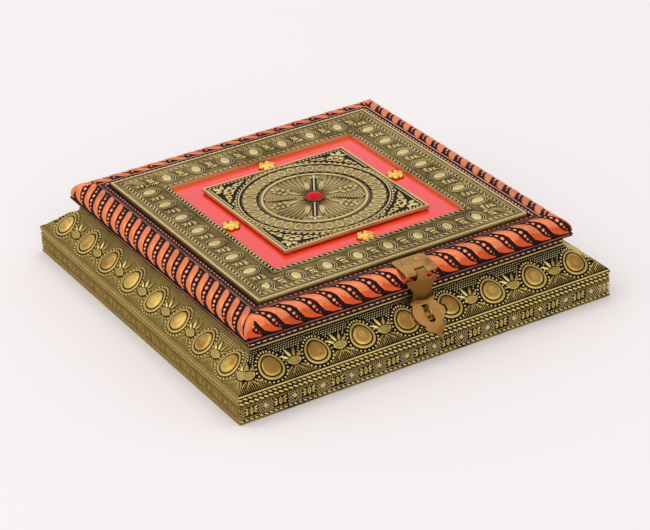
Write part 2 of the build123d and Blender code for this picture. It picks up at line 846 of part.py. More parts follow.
with BuildPart() as lower_outline:
    with BuildSketch(slope_plane(0, leaf_lift - hasp_t)):
        with BuildLine():
            Polyline((0, bend_up + hasp_t), (pad_head_half, bend_up + hasp_t), (pad_head_half, bend_up))
            ThreePointArc((pad_head_half, bend_up), (pad_r, pad_up), (pad_foot_half, pad_up - pad_foot))
            Line((pad_foot_half, pad_up - pad_foot), below_pad(barb))
            ThreePointArc(below_pad(barb), below_pad(barb_curve), below_pad(barb_foot))
            Polyline(below_pad(barb_foot), below_pad(tip), (0, pad_up - tip[1]), (0, bend_up + hasp_t))
        make_face()
        mirror(about=Plane.YZ)
        with Locations((0, pad_up)):
            SlotOverall(slot_l, slot_w, rotation=90, mode=Mode.SUBTRACT)
    extrude(amount=3 * hasp_t)

with BuildPart() as leaf_outline:
    with Locations((hasp_x, 0, 0)):
        add(upper_outline)
        add(lower_outline)

strip_end_up = pad_up - tip[1] - hasp_t
tip_inner = on_slope(strip_end_up, leaf_lift)
tip_outer = on_slope(strip_end_up, leaf_top_lift)
with BuildPart() as hasp_leaf:
    with BuildSketch(Plane.YZ.offset(hasp_x)):
        with BuildLine():
            Polyline(
                (-leaf_inner_half, hasp_axis_z),
                (-leaf_outer_half, hasp_axis_z),
                (-leaf_outer_half, bend_z),
                (-tip_outer[0], tip_outer[1]),
                (-tip_inner[0], tip_inner[1]),
                (-leaf_inner_half, slope_height(leaf_inner_half, leaf_lift)),
                close=True,
            )
        make_face()
    extrude(amount=hasp_w, both=True)
    add(leaf_outline, mode=Mode.INTERSECT)
    with Locations(Location((hasp_x, -hasp_axis_half, hasp_axis_z), (0, 90, 0))):
        Cylinder(hasp_barrel_r, hasp_knuckle_w)
        Cylinder(hasp_bore_r, 2 * hasp_knuckle_w, mode=Mode.SUBTRACT)
save(hasp_leaf, "hasp_leaf")
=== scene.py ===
import random
from math import atan2, cos, hypot, pi, radians, sin, sqrt

import bmesh
import bpy
from mathutils import Matrix, Vector


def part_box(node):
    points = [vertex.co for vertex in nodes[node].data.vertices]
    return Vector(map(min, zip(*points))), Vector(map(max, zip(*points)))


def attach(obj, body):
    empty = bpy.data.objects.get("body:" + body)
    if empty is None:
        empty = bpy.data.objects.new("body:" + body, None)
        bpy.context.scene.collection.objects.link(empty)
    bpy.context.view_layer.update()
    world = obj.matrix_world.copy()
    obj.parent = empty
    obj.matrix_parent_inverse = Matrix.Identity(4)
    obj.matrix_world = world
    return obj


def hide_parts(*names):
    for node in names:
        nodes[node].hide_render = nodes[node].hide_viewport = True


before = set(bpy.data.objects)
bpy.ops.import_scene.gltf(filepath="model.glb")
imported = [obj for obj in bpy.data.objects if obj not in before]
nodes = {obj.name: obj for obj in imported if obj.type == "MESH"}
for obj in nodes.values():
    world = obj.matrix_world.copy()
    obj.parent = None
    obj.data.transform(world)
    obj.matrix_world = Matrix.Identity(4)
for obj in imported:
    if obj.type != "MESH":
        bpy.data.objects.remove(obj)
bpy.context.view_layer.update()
mm = 0.001

# The box's own sizes, in millimetres. A half is half the width of a square shape.
base_half = -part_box("base_cladding_front")[0].y / mm
lid_half = -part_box("lid_cladding_front")[0].y / mm
frame_half = -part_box("frame_cladding_front")[0].y / mm
frame_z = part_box("frame_cladding_front")[1].z / mm
tile_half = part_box("centre_tile")[1].x / mm
tile_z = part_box("centre_tile")[1].z / mm
bezel_z = tile_z + 5
window_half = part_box("red_panel")[1].x / mm
lid_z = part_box("lid_cladding_front")[0].z / mm
ridge_z = 17.6
full_width = 2 * base_half
shoulder_half = 107.5
shoulder_z = 31.5
relief = 0.6
face_h = 2.0
moulding_r = 9.8
crest_w = 4.0
rope_w = 3.0
crest_fall = 0.7
hatch_pitch = 1.05
foot_border = 1.6

slope = atan2(shoulder_z - ridge_z, base_half - shoulder_half)
slope_length = hypot(shoulder_z - ridge_z, base_half - shoulder_half)
crest_half = lid_half - moulding_r
arc_z = lid_z + face_h
crest_z = arc_z + moulding_r
arc_length = moulding_r * pi / 2
side_names = ("front", "right", "back", "left")
turns = {name: i * pi / 2 for i, name in enumerate(side_names)}


def by_side(*values):
    """Values for the front, right, back and left sides."""
    return dict(zip(side_names, values))


def in_scene(name, data):
    """New object in the scene, with that mesh, camera or lamp."""
    made = bpy.data.objects.new(name, data)
    bpy.context.collection.objects.link(made)
    return made


def new_verts(made):
    """Vertices of what a mesh operator made."""
    return [v for v in made["geom"] if isinstance(v, bmesh.types.BMVert)]


def direction(azimuth, elevation):
    """Direction from the box towards an azimuth and elevation in degrees."""
    a, e = radians(azimuth), radians(elevation)
    return Vector((sin(a) * cos(e), -cos(a) * cos(e), sin(e)))


# Camera, where the photograph was taken from
camera_azimuth = -29.87
camera_elevation = 28.2
camera_distance = 1.4641
camera_roll = radians(-2.83)
camera_lens = 133.0
camera_target = Vector((-0.0004, -0.0094, 0.0095))
sensor_width = 36


def make_camera():
    back = direction(camera_azimuth, camera_elevation)
    right = (-back).cross(Vector((0, 0, 1))).normalized()
    up = right.cross(-back)
    rolled_right = right * cos(camera_roll) + up * sin(camera_roll)
    rolled_up = up * cos(camera_roll) - right * sin(camera_roll)
    data = bpy.data.cameras.new("camera")
    data.lens = camera_lens
    data.sensor_width = sensor_width
    data.clip_end = 50
    camera = in_scene("camera", data)
    turned = Matrix((rolled_right, rolled_up, back)).transposed().to_4x4()
    camera.matrix_world = Matrix.Translation(camera_target + back * camera_distance) @ turned
    bpy.context.scene.camera = camera


make_camera()


# Shader building
def feed(tree, node, inputs):
    """Sets a node's inputs, each a value or a socket to link."""
    for key, value in inputs.items():
        if isinstance(value, bpy.types.NodeSocket):
            tree.links.new(value, node.inputs[key])
        else:
            node.inputs[key].default_value = value


def add(tree, kind, inputs=None, output=0, **settings):
    """New shader node. Inputs are values or sockets to link; gives the named output socket."""
    made = tree.nodes.new(kind)
    for key, value in settings.items():
        setattr(made, key, value)
    feed(tree, made, inputs or {})
    return made.outputs[output]


def calc(tree, operation, a, b=0.0, c=0.0):
    return add(tree, "ShaderNodeMath", {0: a, 1: b, 2: c}, operation=operation)


def ramp(tree, value, low, high, to_low=0.0, to_high=1.0):
    """Value carried smoothly from low..high to to_low..to_high, held at the ends."""
    inputs = {"Value": value, "From Min": low, "From Max": high, "To Min": to_low, "To Max": to_high}
    return add(tree, "ShaderNodeMapRange", inputs, interpolation_type="SMOOTHSTEP")


def ramp_mm(tree, value, low, high, to_low=0.0, to_high=1.0):
    """Ramp over a length in metres, with its ends given in millimetres."""
    return ramp(tree, value, low * mm, high * mm, to_low, to_high)


def noise(tree, place, scale, detail):
    return add(tree, "ShaderNodeTexNoise", {"Vector": place, "Scale": scale, "Detail": detail})


def bumped(tree, height, strength, distance):
    inputs = {"Height": height, "Strength": strength, "Distance": distance}
    return add(tree, "ShaderNodeBump", inputs)


def place_on_box(tree):
    return add(tree, "ShaderNodeTexCoord", output="Object")


def split_place(tree):
    """Place of a point on the box, and its three coordinates."""
    place = place_on_box(tree)
    return place, add(tree, "ShaderNodeSeparateXYZ", {0: place}).node.outputs


def widths(tree, axes):
    """How far out of the middle a point is along x and along y."""
    return [calc(tree, "ABSOLUTE", axes[i]) for i in (0, 1)]


def mixed(tree, share, a, b, blend="MIX"):
    inputs = {0: share, 6: a, 7: b}
    return add(tree, "ShaderNodeMix", inputs, output=2, data_type="RGBA", blend_type=blend)


def rgb(red, green, blue):
    """Screen colour, 0 to 1, as the linear colour that a shader takes."""
    return tuple(((c + 0.055) / 1.055) ** 2.4 if c > 0.04045 else c / 12.92
                 for c in (red, green, blue)) + (1.0,)


# Sockets of the patina group
number, colour = "NodeSocketFloat", "NodeSocketColor"
takes_sockets = {"Bright": colour, "Middle": colour, "Dark": colour, "Rise": number, "Tarnish": number}
gives_sockets = {"Color": colour, "Roughness": number, "Height": number}


def make_patina_group():
    """Rubbed metal: dark in the ground of the work, bright on what stands out of it."""
    group = bpy.data.node_groups.new("patina", "ShaderNodeTree")
    for in_out, sockets in (("INPUT", takes_sockets), ("OUTPUT", gives_sockets)):
        for name, kind in sockets.items():
            group.interface.new_socket(name, in_out=in_out, socket_type=kind)
    takes = group.nodes.new("NodeGroupInput").outputs
    gives = group.nodes.new("NodeGroupOutput").inputs
    place = place_on_box(group)
    fine = noise(group, place, 900.0, 4.0)
    patch = noise(group, place, 70.0, 5.0)
    broad = noise(group, place, 14.0, 2.0)
    stain = ramp(group, calc(group, "MULTIPLY_ADD", broad, 0.6, patch), 0.7, 1.0)
    stained = calc(group, "MULTIPLY", stain, takes["Tarnish"])
    shaken = calc(group, "MULTIPLY_ADD", calc(group, "SUBTRACT", fine, 0.5), 0.3, takes["Rise"])
    shaken = calc(group, "MULTIPLY_ADD", stained, -0.35, shaken)
    rubbed = ramp(group, shaken, 0.1, 0.5)
    polished = ramp(group, shaken, 0.6, 0.95)
    # Past a rise of 1.1 a pale colour is mixed in: a painted highlight.
    painted_highlight = ramp(group, takes["Rise"], 1.1, 1.5, 0.0, 0.32)
    dark_to_middle = mixed(group, rubbed, takes["Dark"], takes["Middle"])
    to_bright = mixed(group, polished, dark_to_middle, takes["Bright"])
    group.links.new(mixed(group, painted_highlight, to_bright, (0.9, 0.86, 0.8, 1)), gives["Color"])
    rough = calc(group, "MULTIPLY_ADD", rubbed, -0.2, 0.66)
    rough = calc(group, "MULTIPLY_ADD", polished, -0.12, rough)
    group.links.new(calc(group, "MULTIPLY_ADD", fine, 0.12, rough), gives["Roughness"])
    group.links.new(calc(group, "MULTIPLY_ADD", patch, 1.5, fine), gives["Height"])
    return group


patina_group = make_patina_group()
finishes = {}


def new_finish(name):
    """Tree and Principled shader of a new material, which goes into the finishes."""
    finishes[name] = bpy.data.materials.new(name)
    finishes[name].use_nodes = True
    tree = finishes[name].node_tree
    return tree, tree.nodes["Principled BSDF"]


def raised_by_attribute(tree):
    return add(tree, "ShaderNodeAttribute", output="Fac", attribute_name="rise")


def square_half(tree):
    """How far out of the middle a point is, as the half width of the square it lies on."""
    _, axes = split_place(tree)
    return calc(tree, "MAXIMUM", *widths(tree, axes)), axes[2]


def along_side(tree):
    """Place along whichever side a point lies nearest to."""
    _, axes = split_place(tree)
    return calc(tree, "MINIMUM", *widths(tree, axes))


def raised_on_base(ground, wall, edge):
    """Rise of a base sheet, from how far it stands off the ground of its ornament. The grounds of its
    slope and of its upright side are given, and the most that its borders reach."""
    def raised(tree):
        half, height = square_half(tree)
        out = calc(tree, "MULTIPLY", calc(tree, "SUBTRACT", half, base_half * mm), sin(slope))
        up = calc(tree, "MULTIPLY", calc(tree, "SUBTRACT", height, ridge_z * mm), cos(slope))
        on_slope = ramp(tree, calc(tree, "ADD", out, up), -0.75 * relief * mm, -0.25 * relief * mm)
        near_ridge = ramp_mm(tree, height, ridge_z + 0.2, ridge_z + 0.4, 1.0, 0.0)
        on_side = ramp_mm(tree, half, base_half - relief, base_half)
        at_ridge = ramp_mm(tree, height, ridge_z - 0.45, ridge_z - 0.25)
        at_foot = ramp_mm(tree, height, foot_border, foot_border + 0.2, 0.36, 0.0)
        rise = calc(tree, "MAXIMUM", calc(tree, "MULTIPLY", on_slope, near_ridge),
                    calc(tree, "MULTIPLY", on_side, calc(tree, "MAXIMUM", at_ridge, at_foot)))
        on_wall = ramp_mm(tree, height, ridge_z - 0.8, ridge_z - 0.5, wall, ground)
        return calc(tree, "MAXIMUM", calc(tree, "MINIMUM", rise, edge), on_wall)
    return raised


def raised_above(z, half_width, ground, edge, hatch=0.0):
    """Rise of a flat sheet with a border at height z, side faces that darken towards their foot as painted
    shade, and fine lines across its ground.
    """
    def raised(tree):
        half, height = square_half(tree)
        on_top = ramp_mm(tree, height, z - relief, z)
        inside = ramp_mm(tree, half, half_width - 2.5, half_width - 2, 0.25)
        # The outer walls grow darker towards their foot: painted shade under the rim.
        painted_wall_shading = ramp_mm(tree, height, z - 3.2, z - 0.9, 0.3, edge)
        on_edge = ramp_mm(tree, half, half_width - 0.1, half_width - 0.03)
        on_edge = calc(tree, "MULTIPLY", on_edge, painted_wall_shading)
        on_wall = ramp_mm(tree, half, window_half + 0.25, window_half + 0.35)
        on_wall = calc(tree, "SUBTRACT", 1.0, on_wall)
        sides = calc(tree, "MAXIMUM", on_edge, on_wall) if hatch else on_edge
        line = calc(tree, "SINE", calc(tree, "MULTIPLY", along_side(tree), 2 * pi / (hatch_pitch * mm)))
        lined = calc(tree, "MULTIPLY_ADD", ramp(tree, line, -0.4, 0.4, -1.0, 1.0), hatch, ground)
        flat = calc(tree, "MAXIMUM", calc(tree, "MINIMUM", on_top, inside), lined)
        return calc(tree, "MAXIMUM", flat, sides)
    return raised


def raised_on_lid(tree):
    """Rise of a moulding's sheet: dark but for the edge of its upright foot."""
    half, _ = square_half(tree)
    return ramp_mm(tree, half, lid_half - relief, lid_half, 0.0, 0.12)


def fully_raised(tree):
    return 1.0


def hasp_painted_light(tree):
    """Rise of the hasp's leaf, as painted light: darker along its neck towards the fold, where it lies in
    shade, and bright on its pad in place of the reflections it shows.
    """
    place, axes = split_place(tree)
    # Noise that rags the edges of the painted shade and highlight.
    shade_ragging = noise(tree, place, 90.0, 2.0)
    height = calc(tree, "MULTIPLY_ADD", shade_ragging, 8 * mm, axes[2])
    neck = ramp_mm(tree, height, 36, 52, 0.35, 0.78)
    pad = ramp_mm(tree, height, 34, 36, 1.0, 0.0)
    low_pad = ramp_mm(tree, height, 18, 32, 0.75, 0.95)
    return calc(tree, "MAXIMUM", neck, calc(tree, "MULTIPLY", pad, low_pad))


def patches_and_low_shade(tree):
    """Share of deeper colour on the lower half of the front and back mouldings, with ragged edges: partly
    the copper's own deeper red patches, and partly painted shade for the darker surroundings that those
    lower faces reflect.
    """
    place, axes = split_place(tree)
    ragged = noise(tree, place, 260.0, 3.0)
    height = calc(tree, "MULTIPLY_ADD", ragged, 6 * mm, axes[2])
    low = ramp_mm(tree, height, arc_z + 8.3, arc_z + 10.0, 1.0, 0.0)
    across, along = widths(tree, axes)
    facing = calc(tree, "GREATER_THAN", along, across)
    return calc(tree, "MULTIPLY", low, facing)


def painted_copper_reflection(tree):
    """Share of warmer, darker colour on the outer walls of the frame, below their rims: a painted
    reflection of the copper moulding, in shade.
    """
    half, height = square_half(tree)
    low = ramp_mm(tree, height, frame_z - 1.2, frame_z - 0.5, 1.0, 0.0)
    return calc(tree, "MULTIPLY", low, ramp_mm(tree, half, frame_half - 0.1, frame_half - 0.03))


def metal(name, shades, raised=raised_by_attribute, tarnish=0.5, metallic=0.85, deepened=None,
          deep=(0.80, 0.40, 0.28, 1)):
    """Patinated metal, with its rise given by a function of the shader tree."""
    tree, shader = new_finish(name)
    inputs = {**dict(zip(("Bright", "Middle", "Dark"), shades)), "Rise": raised(tree), "Tarnish": tarnish}
    color = add(tree, "ShaderNodeGroup", inputs, "Color", node_tree=patina_group)
    patina = color.node.outputs
    normal = bumped(tree, patina["Height"], 0.25, 0.08 * mm)
    # A deepened mask multiplies in the deep colour: painted shade and reflections, and on the copper also
    # its own deeper patches.
    if deepened:
        color = mixed(tree, deepened(tree), color, deep, blend="MULTIPLY")
    feed(tree, shader, {"Base Color": color, "Roughness": patina["Roughness"], "Normal": normal,
                        "Metallic": metallic})


# Each metal's bright, middle and dark colours
brass = (rgb(0.86, 0.77, 0.46), rgb(0.64, 0.54, 0.28), rgb(0.15, 0.11, 0.06))
lid_brass = (rgb(0.87, 0.79, 0.54), rgb(0.66, 0.57, 0.35), rgb(0.15, 0.12, 0.09))
copper = (rgb(0.93, 0.53, 0.33), rgb(0.60, 0.32, 0.24), rgb(0.18, 0.10, 0.10))
copper_edge = (rgb(0.92, 0.68, 0.58), rgb(0.66, 0.40, 0.33), rgb(0.18, 0.09, 0.08))
dome_brass = (rgb(0.84, 0.71, 0.38), rgb(0.60, 0.44, 0.19), rgb(0.13, 0.09, 0.05))
fitting = (rgb(0.72, 0.54, 0.30), rgb(0.52, 0.36, 0.17), rgb(0.24, 0.14, 0.06))
gold = (rgb(1.0, 0.84, 0.46), rgb(0.88, 0.60, 0.20), rgb(0.36, 0.20, 0.04))
metal("brass_relief", brass)
# The left side has its own copies of the brass, evener and barely tarnished: painted light, for how light
# falls on that side.
metal("brass_relief_left", brass, tarnish=0.08)
metal("dome_brass", dome_brass, tarnish=0.6)
metal("base_sheet", brass, raised_on_base(0.0, 0.16, 1.0))
metal("base_sheet_left", brass, raised_on_base(0.34, 0.42, 0.4), tarnish=0.08)
metal("lid_brass_relief", lid_brass)
metal("frame_sheet", lid_brass, raised_above(frame_z, frame_half, 0.24, 0.95, 0.2),
      deepened=painted_copper_reflection, deep=(1.0, 0.62, 0.34, 1))
metal("tile_sheet", lid_brass, raised_above(tile_z, tile_half, 0.52, 0.85))
metal("bezel", brass, raised_above(bezel_z, 0, 0.12, 0.0))
metal("copper_relief", copper, deepened=patches_and_low_shade)
metal("copper_edge", copper_edge)
metal("copper_sheet", copper, raised_on_lid)
metal("fitting_brass", fitting, fully_raised, tarnish=0.9, metallic=1.0)
metal("hasp_sheet", fitting, hasp_painted_light, metallic=1.0)
metal("gold", gold, fully_raised, tarnish=0.3, metallic=1.0)
metal("gold_relief", gold, tarnish=0.2, metallic=1.0)


def plain_finish(name, base, rough, grain_scale, vary, sheen=0.0, coat=0.0, stretch=(1, 1, 1),
                 bump=0.2, specular=0.5):
    """Non-metal finish: one colour, varied by a stretched grain."""
    tree, shader = new_finish(name)
    stretched = add(tree, "ShaderNodeMapping", {"Vector": place_on_box(tree), "Scale": stretch})
    grain = noise(tree, stretched, grain_scale, 6.0)
    shade = ramp(tree, grain, 0.3, 0.7, 1.0 - vary, 1.0 + vary)
    varied = add(tree, "ShaderNodeVectorMath", {0: base[:3], 3: shade}, operation="SCALE")
    dullness = ramp(tree, grain, 0.3, 0.7, rough * 0.9, rough * 1.1)
    normal = bumped(tree, grain, bump, 0.1 * mm)
    feed(tree, shader, {"Base Color": varied, "Roughness": dullness, "Normal": normal,
                        "Specular IOR Level": specular, "Sheen Weight": sheen, "Coat Weight": coat})


plain_finish("wood", rgb(0.62, 0.46, 0.31), 0.6, 60.0, 0.2, stretch=(1, 14, 14))
plain_finish("velvet", rgb(0.45, 0.03, 0.08), 0.9, 700.0, 0.25, sheen=0.8)
plain_finish("cloth", rgb(0.22, 0.06, 0.07), 0.85, 900.0, 0.3, sheen=0.3)
plain_finish("red_panel", rgb(0.97, 0.12, 0.06), 0.07, 40.0, 0.03, coat=0.6, bump=0.02)
plain_finish("red_stone", rgb(0.80, 0.0, 0.10), 0.3, 200.0, 0.1, bump=0.02, specular=0.12)

dressing = {
    "base_sheet": ["base_cladding_" + s for s in ("front", "right", "back")],
    "base_sheet_left": ["base_cladding_left"],
    "copper_sheet": ["lid_cladding_" + s for s in side_names],
    "frame_sheet": ["frame_cladding_" + s for s in side_names],
    "tile_sheet": ["centre_tile"],
    "bezel": ["stone_bezel"],
    "hasp_sheet": ["hasp_leaf"],
    "red_panel": ["red_panel"],
    "red_stone": ["centre_stone"],
    "velvet": ["floor_lining", "wall_lining", "partition_long", "partition_cross", "lid_lining"],
    "cloth": ["base_covering"],
    "wood": ["base_floor", "lid_board", "tile_board", "tile_feet"]
    + [kind + s for kind in ("base_rail_", "lid_rail_", "frame_strip_") for s in side_names],
    "gold": ["rosette_" + s for s in side_names],
}
dressed = {name: finish for finish, names in dressing.items() for name in names}
for name, obj in nodes.items():
    obj.data.materials.clear()
    obj.data.materials.append(finishes[dressed.get(name, "fitting_brass")])


# Motifs: small meshes in millimetres, their ground at z 0, stamped many times.
# Each point's "rise" says how rubbed it is, from 0 in the ground to 1 on a polished top,
# and past that it paints in a pale highlight.
full_rise = 0.5
# Rise of a top that carries the fullest painted pale highlight
highlight_rise = 1.6
sunk = -0.15
skirt_z = 0.04


def as_motif(bm, name, top=1.0):
    rise = bm.verts.layers.float.get("rise")
    if rise is None:
        rise = bm.verts.layers.float.new("rise")
        for vert in bm.verts:
            vert[rise] = top * min(1.0, max(0.0, (vert.co.z - skirt_z) / full_rise))
    bmesh.ops.recalc_face_normals(bm, faces=bm.faces)
    mesh = bpy.data.meshes.new(name)
    bm.to_mesh(mesh)
    bm.free()
    return mesh


def reshape(bm, rule):
    for vert in bm.verts:
        vert.co = rule(*vert.co)


def dome(around=8, rings=5, skirt=1.25):
    """Unit half ball on a thin skirt that darkens the ground round it."""
    bm = bmesh.new()
    bmesh.ops.create_uvsphere(bm, u_segments=around, v_segments=rings, radius=1)
    bmesh.ops.bisect_plane(bm, geom=bm.verts[:] + bm.edges[:] + bm.faces[:], plane_co=(0, 0, 0),
                           plane_no=(0, 0, -1), clear_outer=True, dist=1e-5)
    for spread, z in ((skirt, skirt_z), (1.0, 2 * sunk)):
        rim = [edge for edge in bm.edges if edge.is_boundary]
        for vert in new_verts(bmesh.ops.extrude_edge_only(bm, edges=rim)):
            vert.co = Vector((vert.co.x * spread, vert.co.y * spread, z))
    bmesh.ops.holes_fill(bm, edges=bm.edges[:], sides=0)
    return bm


def blob(around, rings, rule, name, top=1.0, skirt=1.25):
    """Dome whose points are carried over by a rule."""
    bm = dome(around, rings, skirt)
    reshape(bm, rule)
    return as_motif(bm, name, top)


def boss(segments, steps, plan, name):
    """Raised piece whose plan is a unit disc carried over by a rule, stepped in to its middle.
    Each step is the share of the disc's radius where it lies, its height and its rise."""
    bm = bmesh.new()
    bmesh.ops.create_cone(bm, cap_ends=True, cap_tris=False, segments=segments, radius1=steps[0][0],
                          radius2=steps[0][0], depth=-sunk, matrix=Matrix.Translation((0, 0, sunk / 2)))
    top = max(bm.faces, key=lambda face: face.calc_center_median().z)
    for share, height, _ in steps:
        bmesh.ops.inset_region(bm, faces=[top], thickness=1e-5, use_even_offset=True)
        for vert in top.verts:
            vert.co = Vector((vert.co.x, vert.co.y, 0)).normalized() * share + Vector((0, 0, height))
    bmesh.ops.poke(bm, faces=[top])
    rise = bm.verts.layers.float.new("rise")
    for vert in bm.verts:
        radius = vert.co.xy.length
        if vert.co.z > 0:
            vert[rise] = min(steps, key=lambda step: abs(step[0] - radius))[2]
    reshape(bm, lambda x, y, z: Vector((*plan(x, y), z)))
    return as_motif(bm, name)


def lifted(z, power):
    """Height of a dome's point, carried nearer to its top so that the flanks stand steeper."""
    return z ** power if z > skirt_z else z


def lens(half_x, half_y):
    """Plan rule of a pointed oval, its points along x."""
    return lambda x, y: (x * half_x, y * half_y * sqrt(max(0.0, 1 - 0.8 * x * x)))


def leaf(length, width, height, bend=0.0, top=1.0):
    """Pointed leaf from the origin up +y, with a shallow vein, its tip bent sideways."""
    def rule(x, y, z):
        t = (y + 1) / 2
        inside = min(1.0, max(0.0, t))
        narrow = max(0.1, (1 - inside) ** 0.45 * (inside + 0.12) ** 0.25 * 1.25)
        vein = 0.62 if abs(x) < 0.05 and z > 0.3 else 1.0
        return Vector((x * width / 2 * narrow + bend * t * t, t * length, lifted(z, 0.6) * height * vein))
    return blob(8, 6, rule, "leaf", top)


def flame(length, width, height, bend, top):
    """Flame from the origin up +y: broad near its root, drawn out to a point, with a bright spine."""
    def rule(x, y, z):
        t = min(1.0, max(0.0, (y + 1) / 2))
        narrow = max(0.07, 1.7 * (1 - t) ** 0.85 * (t + 0.12) ** 0.4)
        spine = 1.0 if abs(x) < 0.05 else 0.8
        root = 0.4 + 0.6 * min(1.0, 2.5 * t)
        return Vector((x * width / 2 * narrow + bend * t * t, (y + 1) / 2 * length,
                       lifted(z, 0.6) * height * (spine * root if z > skirt_z else 1)))
    return blob(8, 10, rule, "flame", top, skirt=1.35)


hoop_r = 100


def hoop(half_x, half_y, width, height, segments=24, line=0.25):
    """Oval ring with a rounded top between two dark lines, spun at a radius of its own first."""
    bm = bmesh.new()
    edge = 0.5 + line / width
    half = [(edge, sunk), (edge, skirt_z), (0.5, skirt_z), (0.36, 0.85 * height)]
    section = [(-a, z) for a, z in half] + [(0.0, height)] + half[::-1]
    ends = [bm.verts.new((hoop_r + a * width, 0, z)) for a, z in section]
    edges = [bm.edges.new(pair) for pair in zip(ends, ends[1:] + ends[:1])]
    bmesh.ops.spin(bm, geom=ends + edges, axis=(0, 0, 1), cent=(0, 0, 0), angle=2 * pi,
                   steps=segments, use_merge=True)

    def rule(x, y, z):
        radius = hypot(x, y)
        out = radius - hoop_r
        return Vector((x / radius * (half_x + out), y / radius * (half_y + out), z))
    reshape(bm, rule)
    return as_motif(bm, "hoop")


def stroke(points, widths, height):
    """Ridge along a smooth line through points, tapering as the widths say."""
    data = bpy.data.curves.new("stroke", "CURVE")
    data.dimensions = "3D"
    data.bevel_depth = 0.5
    data.bevel_resolution = 0
    data.use_fill_caps = True
    data.resolution_u = 4
    line = data.splines.new("NURBS")
    line.points.add(len(points) - 1)
    for target, (x, y), width in zip(line.points, points, widths):
        target.co = (x, y, 0, 1)
        target.radius = width
    line.order_u = 3
    line.use_endpoint_u = True
    holder = in_scene("stroke", data)
    mesh = bpy.data.meshes.new_from_object(holder)
    bm = bmesh.new()
    bm.from_mesh(mesh)
    top = max(vert.co.z for vert in bm.verts)
    bpy.data.objects.remove(holder)
    bpy.data.curves.remove(data)
    bpy.data.meshes.remove(mesh)
    reshape(bm, lambda x, y, z: Vector((x, y, z / top * height)))
    return as_motif(bm, "stroke")


def bar(length, width, height, top=1.0):
    """Straight ridge with sloping flanks, along x."""
    bm = bmesh.new()
    bmesh.ops.create_cube(bm, size=1)
    narrow = 0.55
    cut = min(0.5, 0.25 * width / length)

    def rule(x, y, z):
        inward = narrow if z > 0 else 1
        return Vector((x * length * (1 - cut * (z > 0)), y * width * inward,
                       (z + 0.5) * (height - sunk) + sunk))
    reshape(bm, rule)
    return as_motif(bm, "bar", top)


def strand(length, width, height, top=1.0):
    """One twist of a rope, lying along x."""
    def rule(x, y, z):
        full = max(0.35, sqrt(max(0.0, 1 - x * x))) ** -0.55
        return Vector((x * length / 2, y * full * width / 2, lifted(z, 0.5) * height))
    return blob(8, 6, rule, "strand", top, skirt=1.15)


def clipped(motif, planes):
    """Copy of a motif cut off beyond each plane, which is a point and an outward direction."""
    bm = bmesh.new()
    bm.from_mesh(motif)
    for point, outward in planes:
        cut_off(bm, point, outward)
    mesh = bpy.data.meshes.new(motif.name)
    bm.to_mesh(mesh)
    bm.free()
    return mesh


def cut_off(bm, point, outward):
    geom = bm.verts[:] + bm.edges[:] + bm.faces[:]
    cut = bmesh.ops.bisect_plane(bm, geom=geom, plane_co=point, plane_no=outward, clear_outer=True,
                                 dist=1e-7)
    edges = [e for e in cut["geom_cut"] if isinstance(e, bmesh.types.BMEdge)]
    bmesh.ops.holes_fill(bm, edges=edges, sides=0)


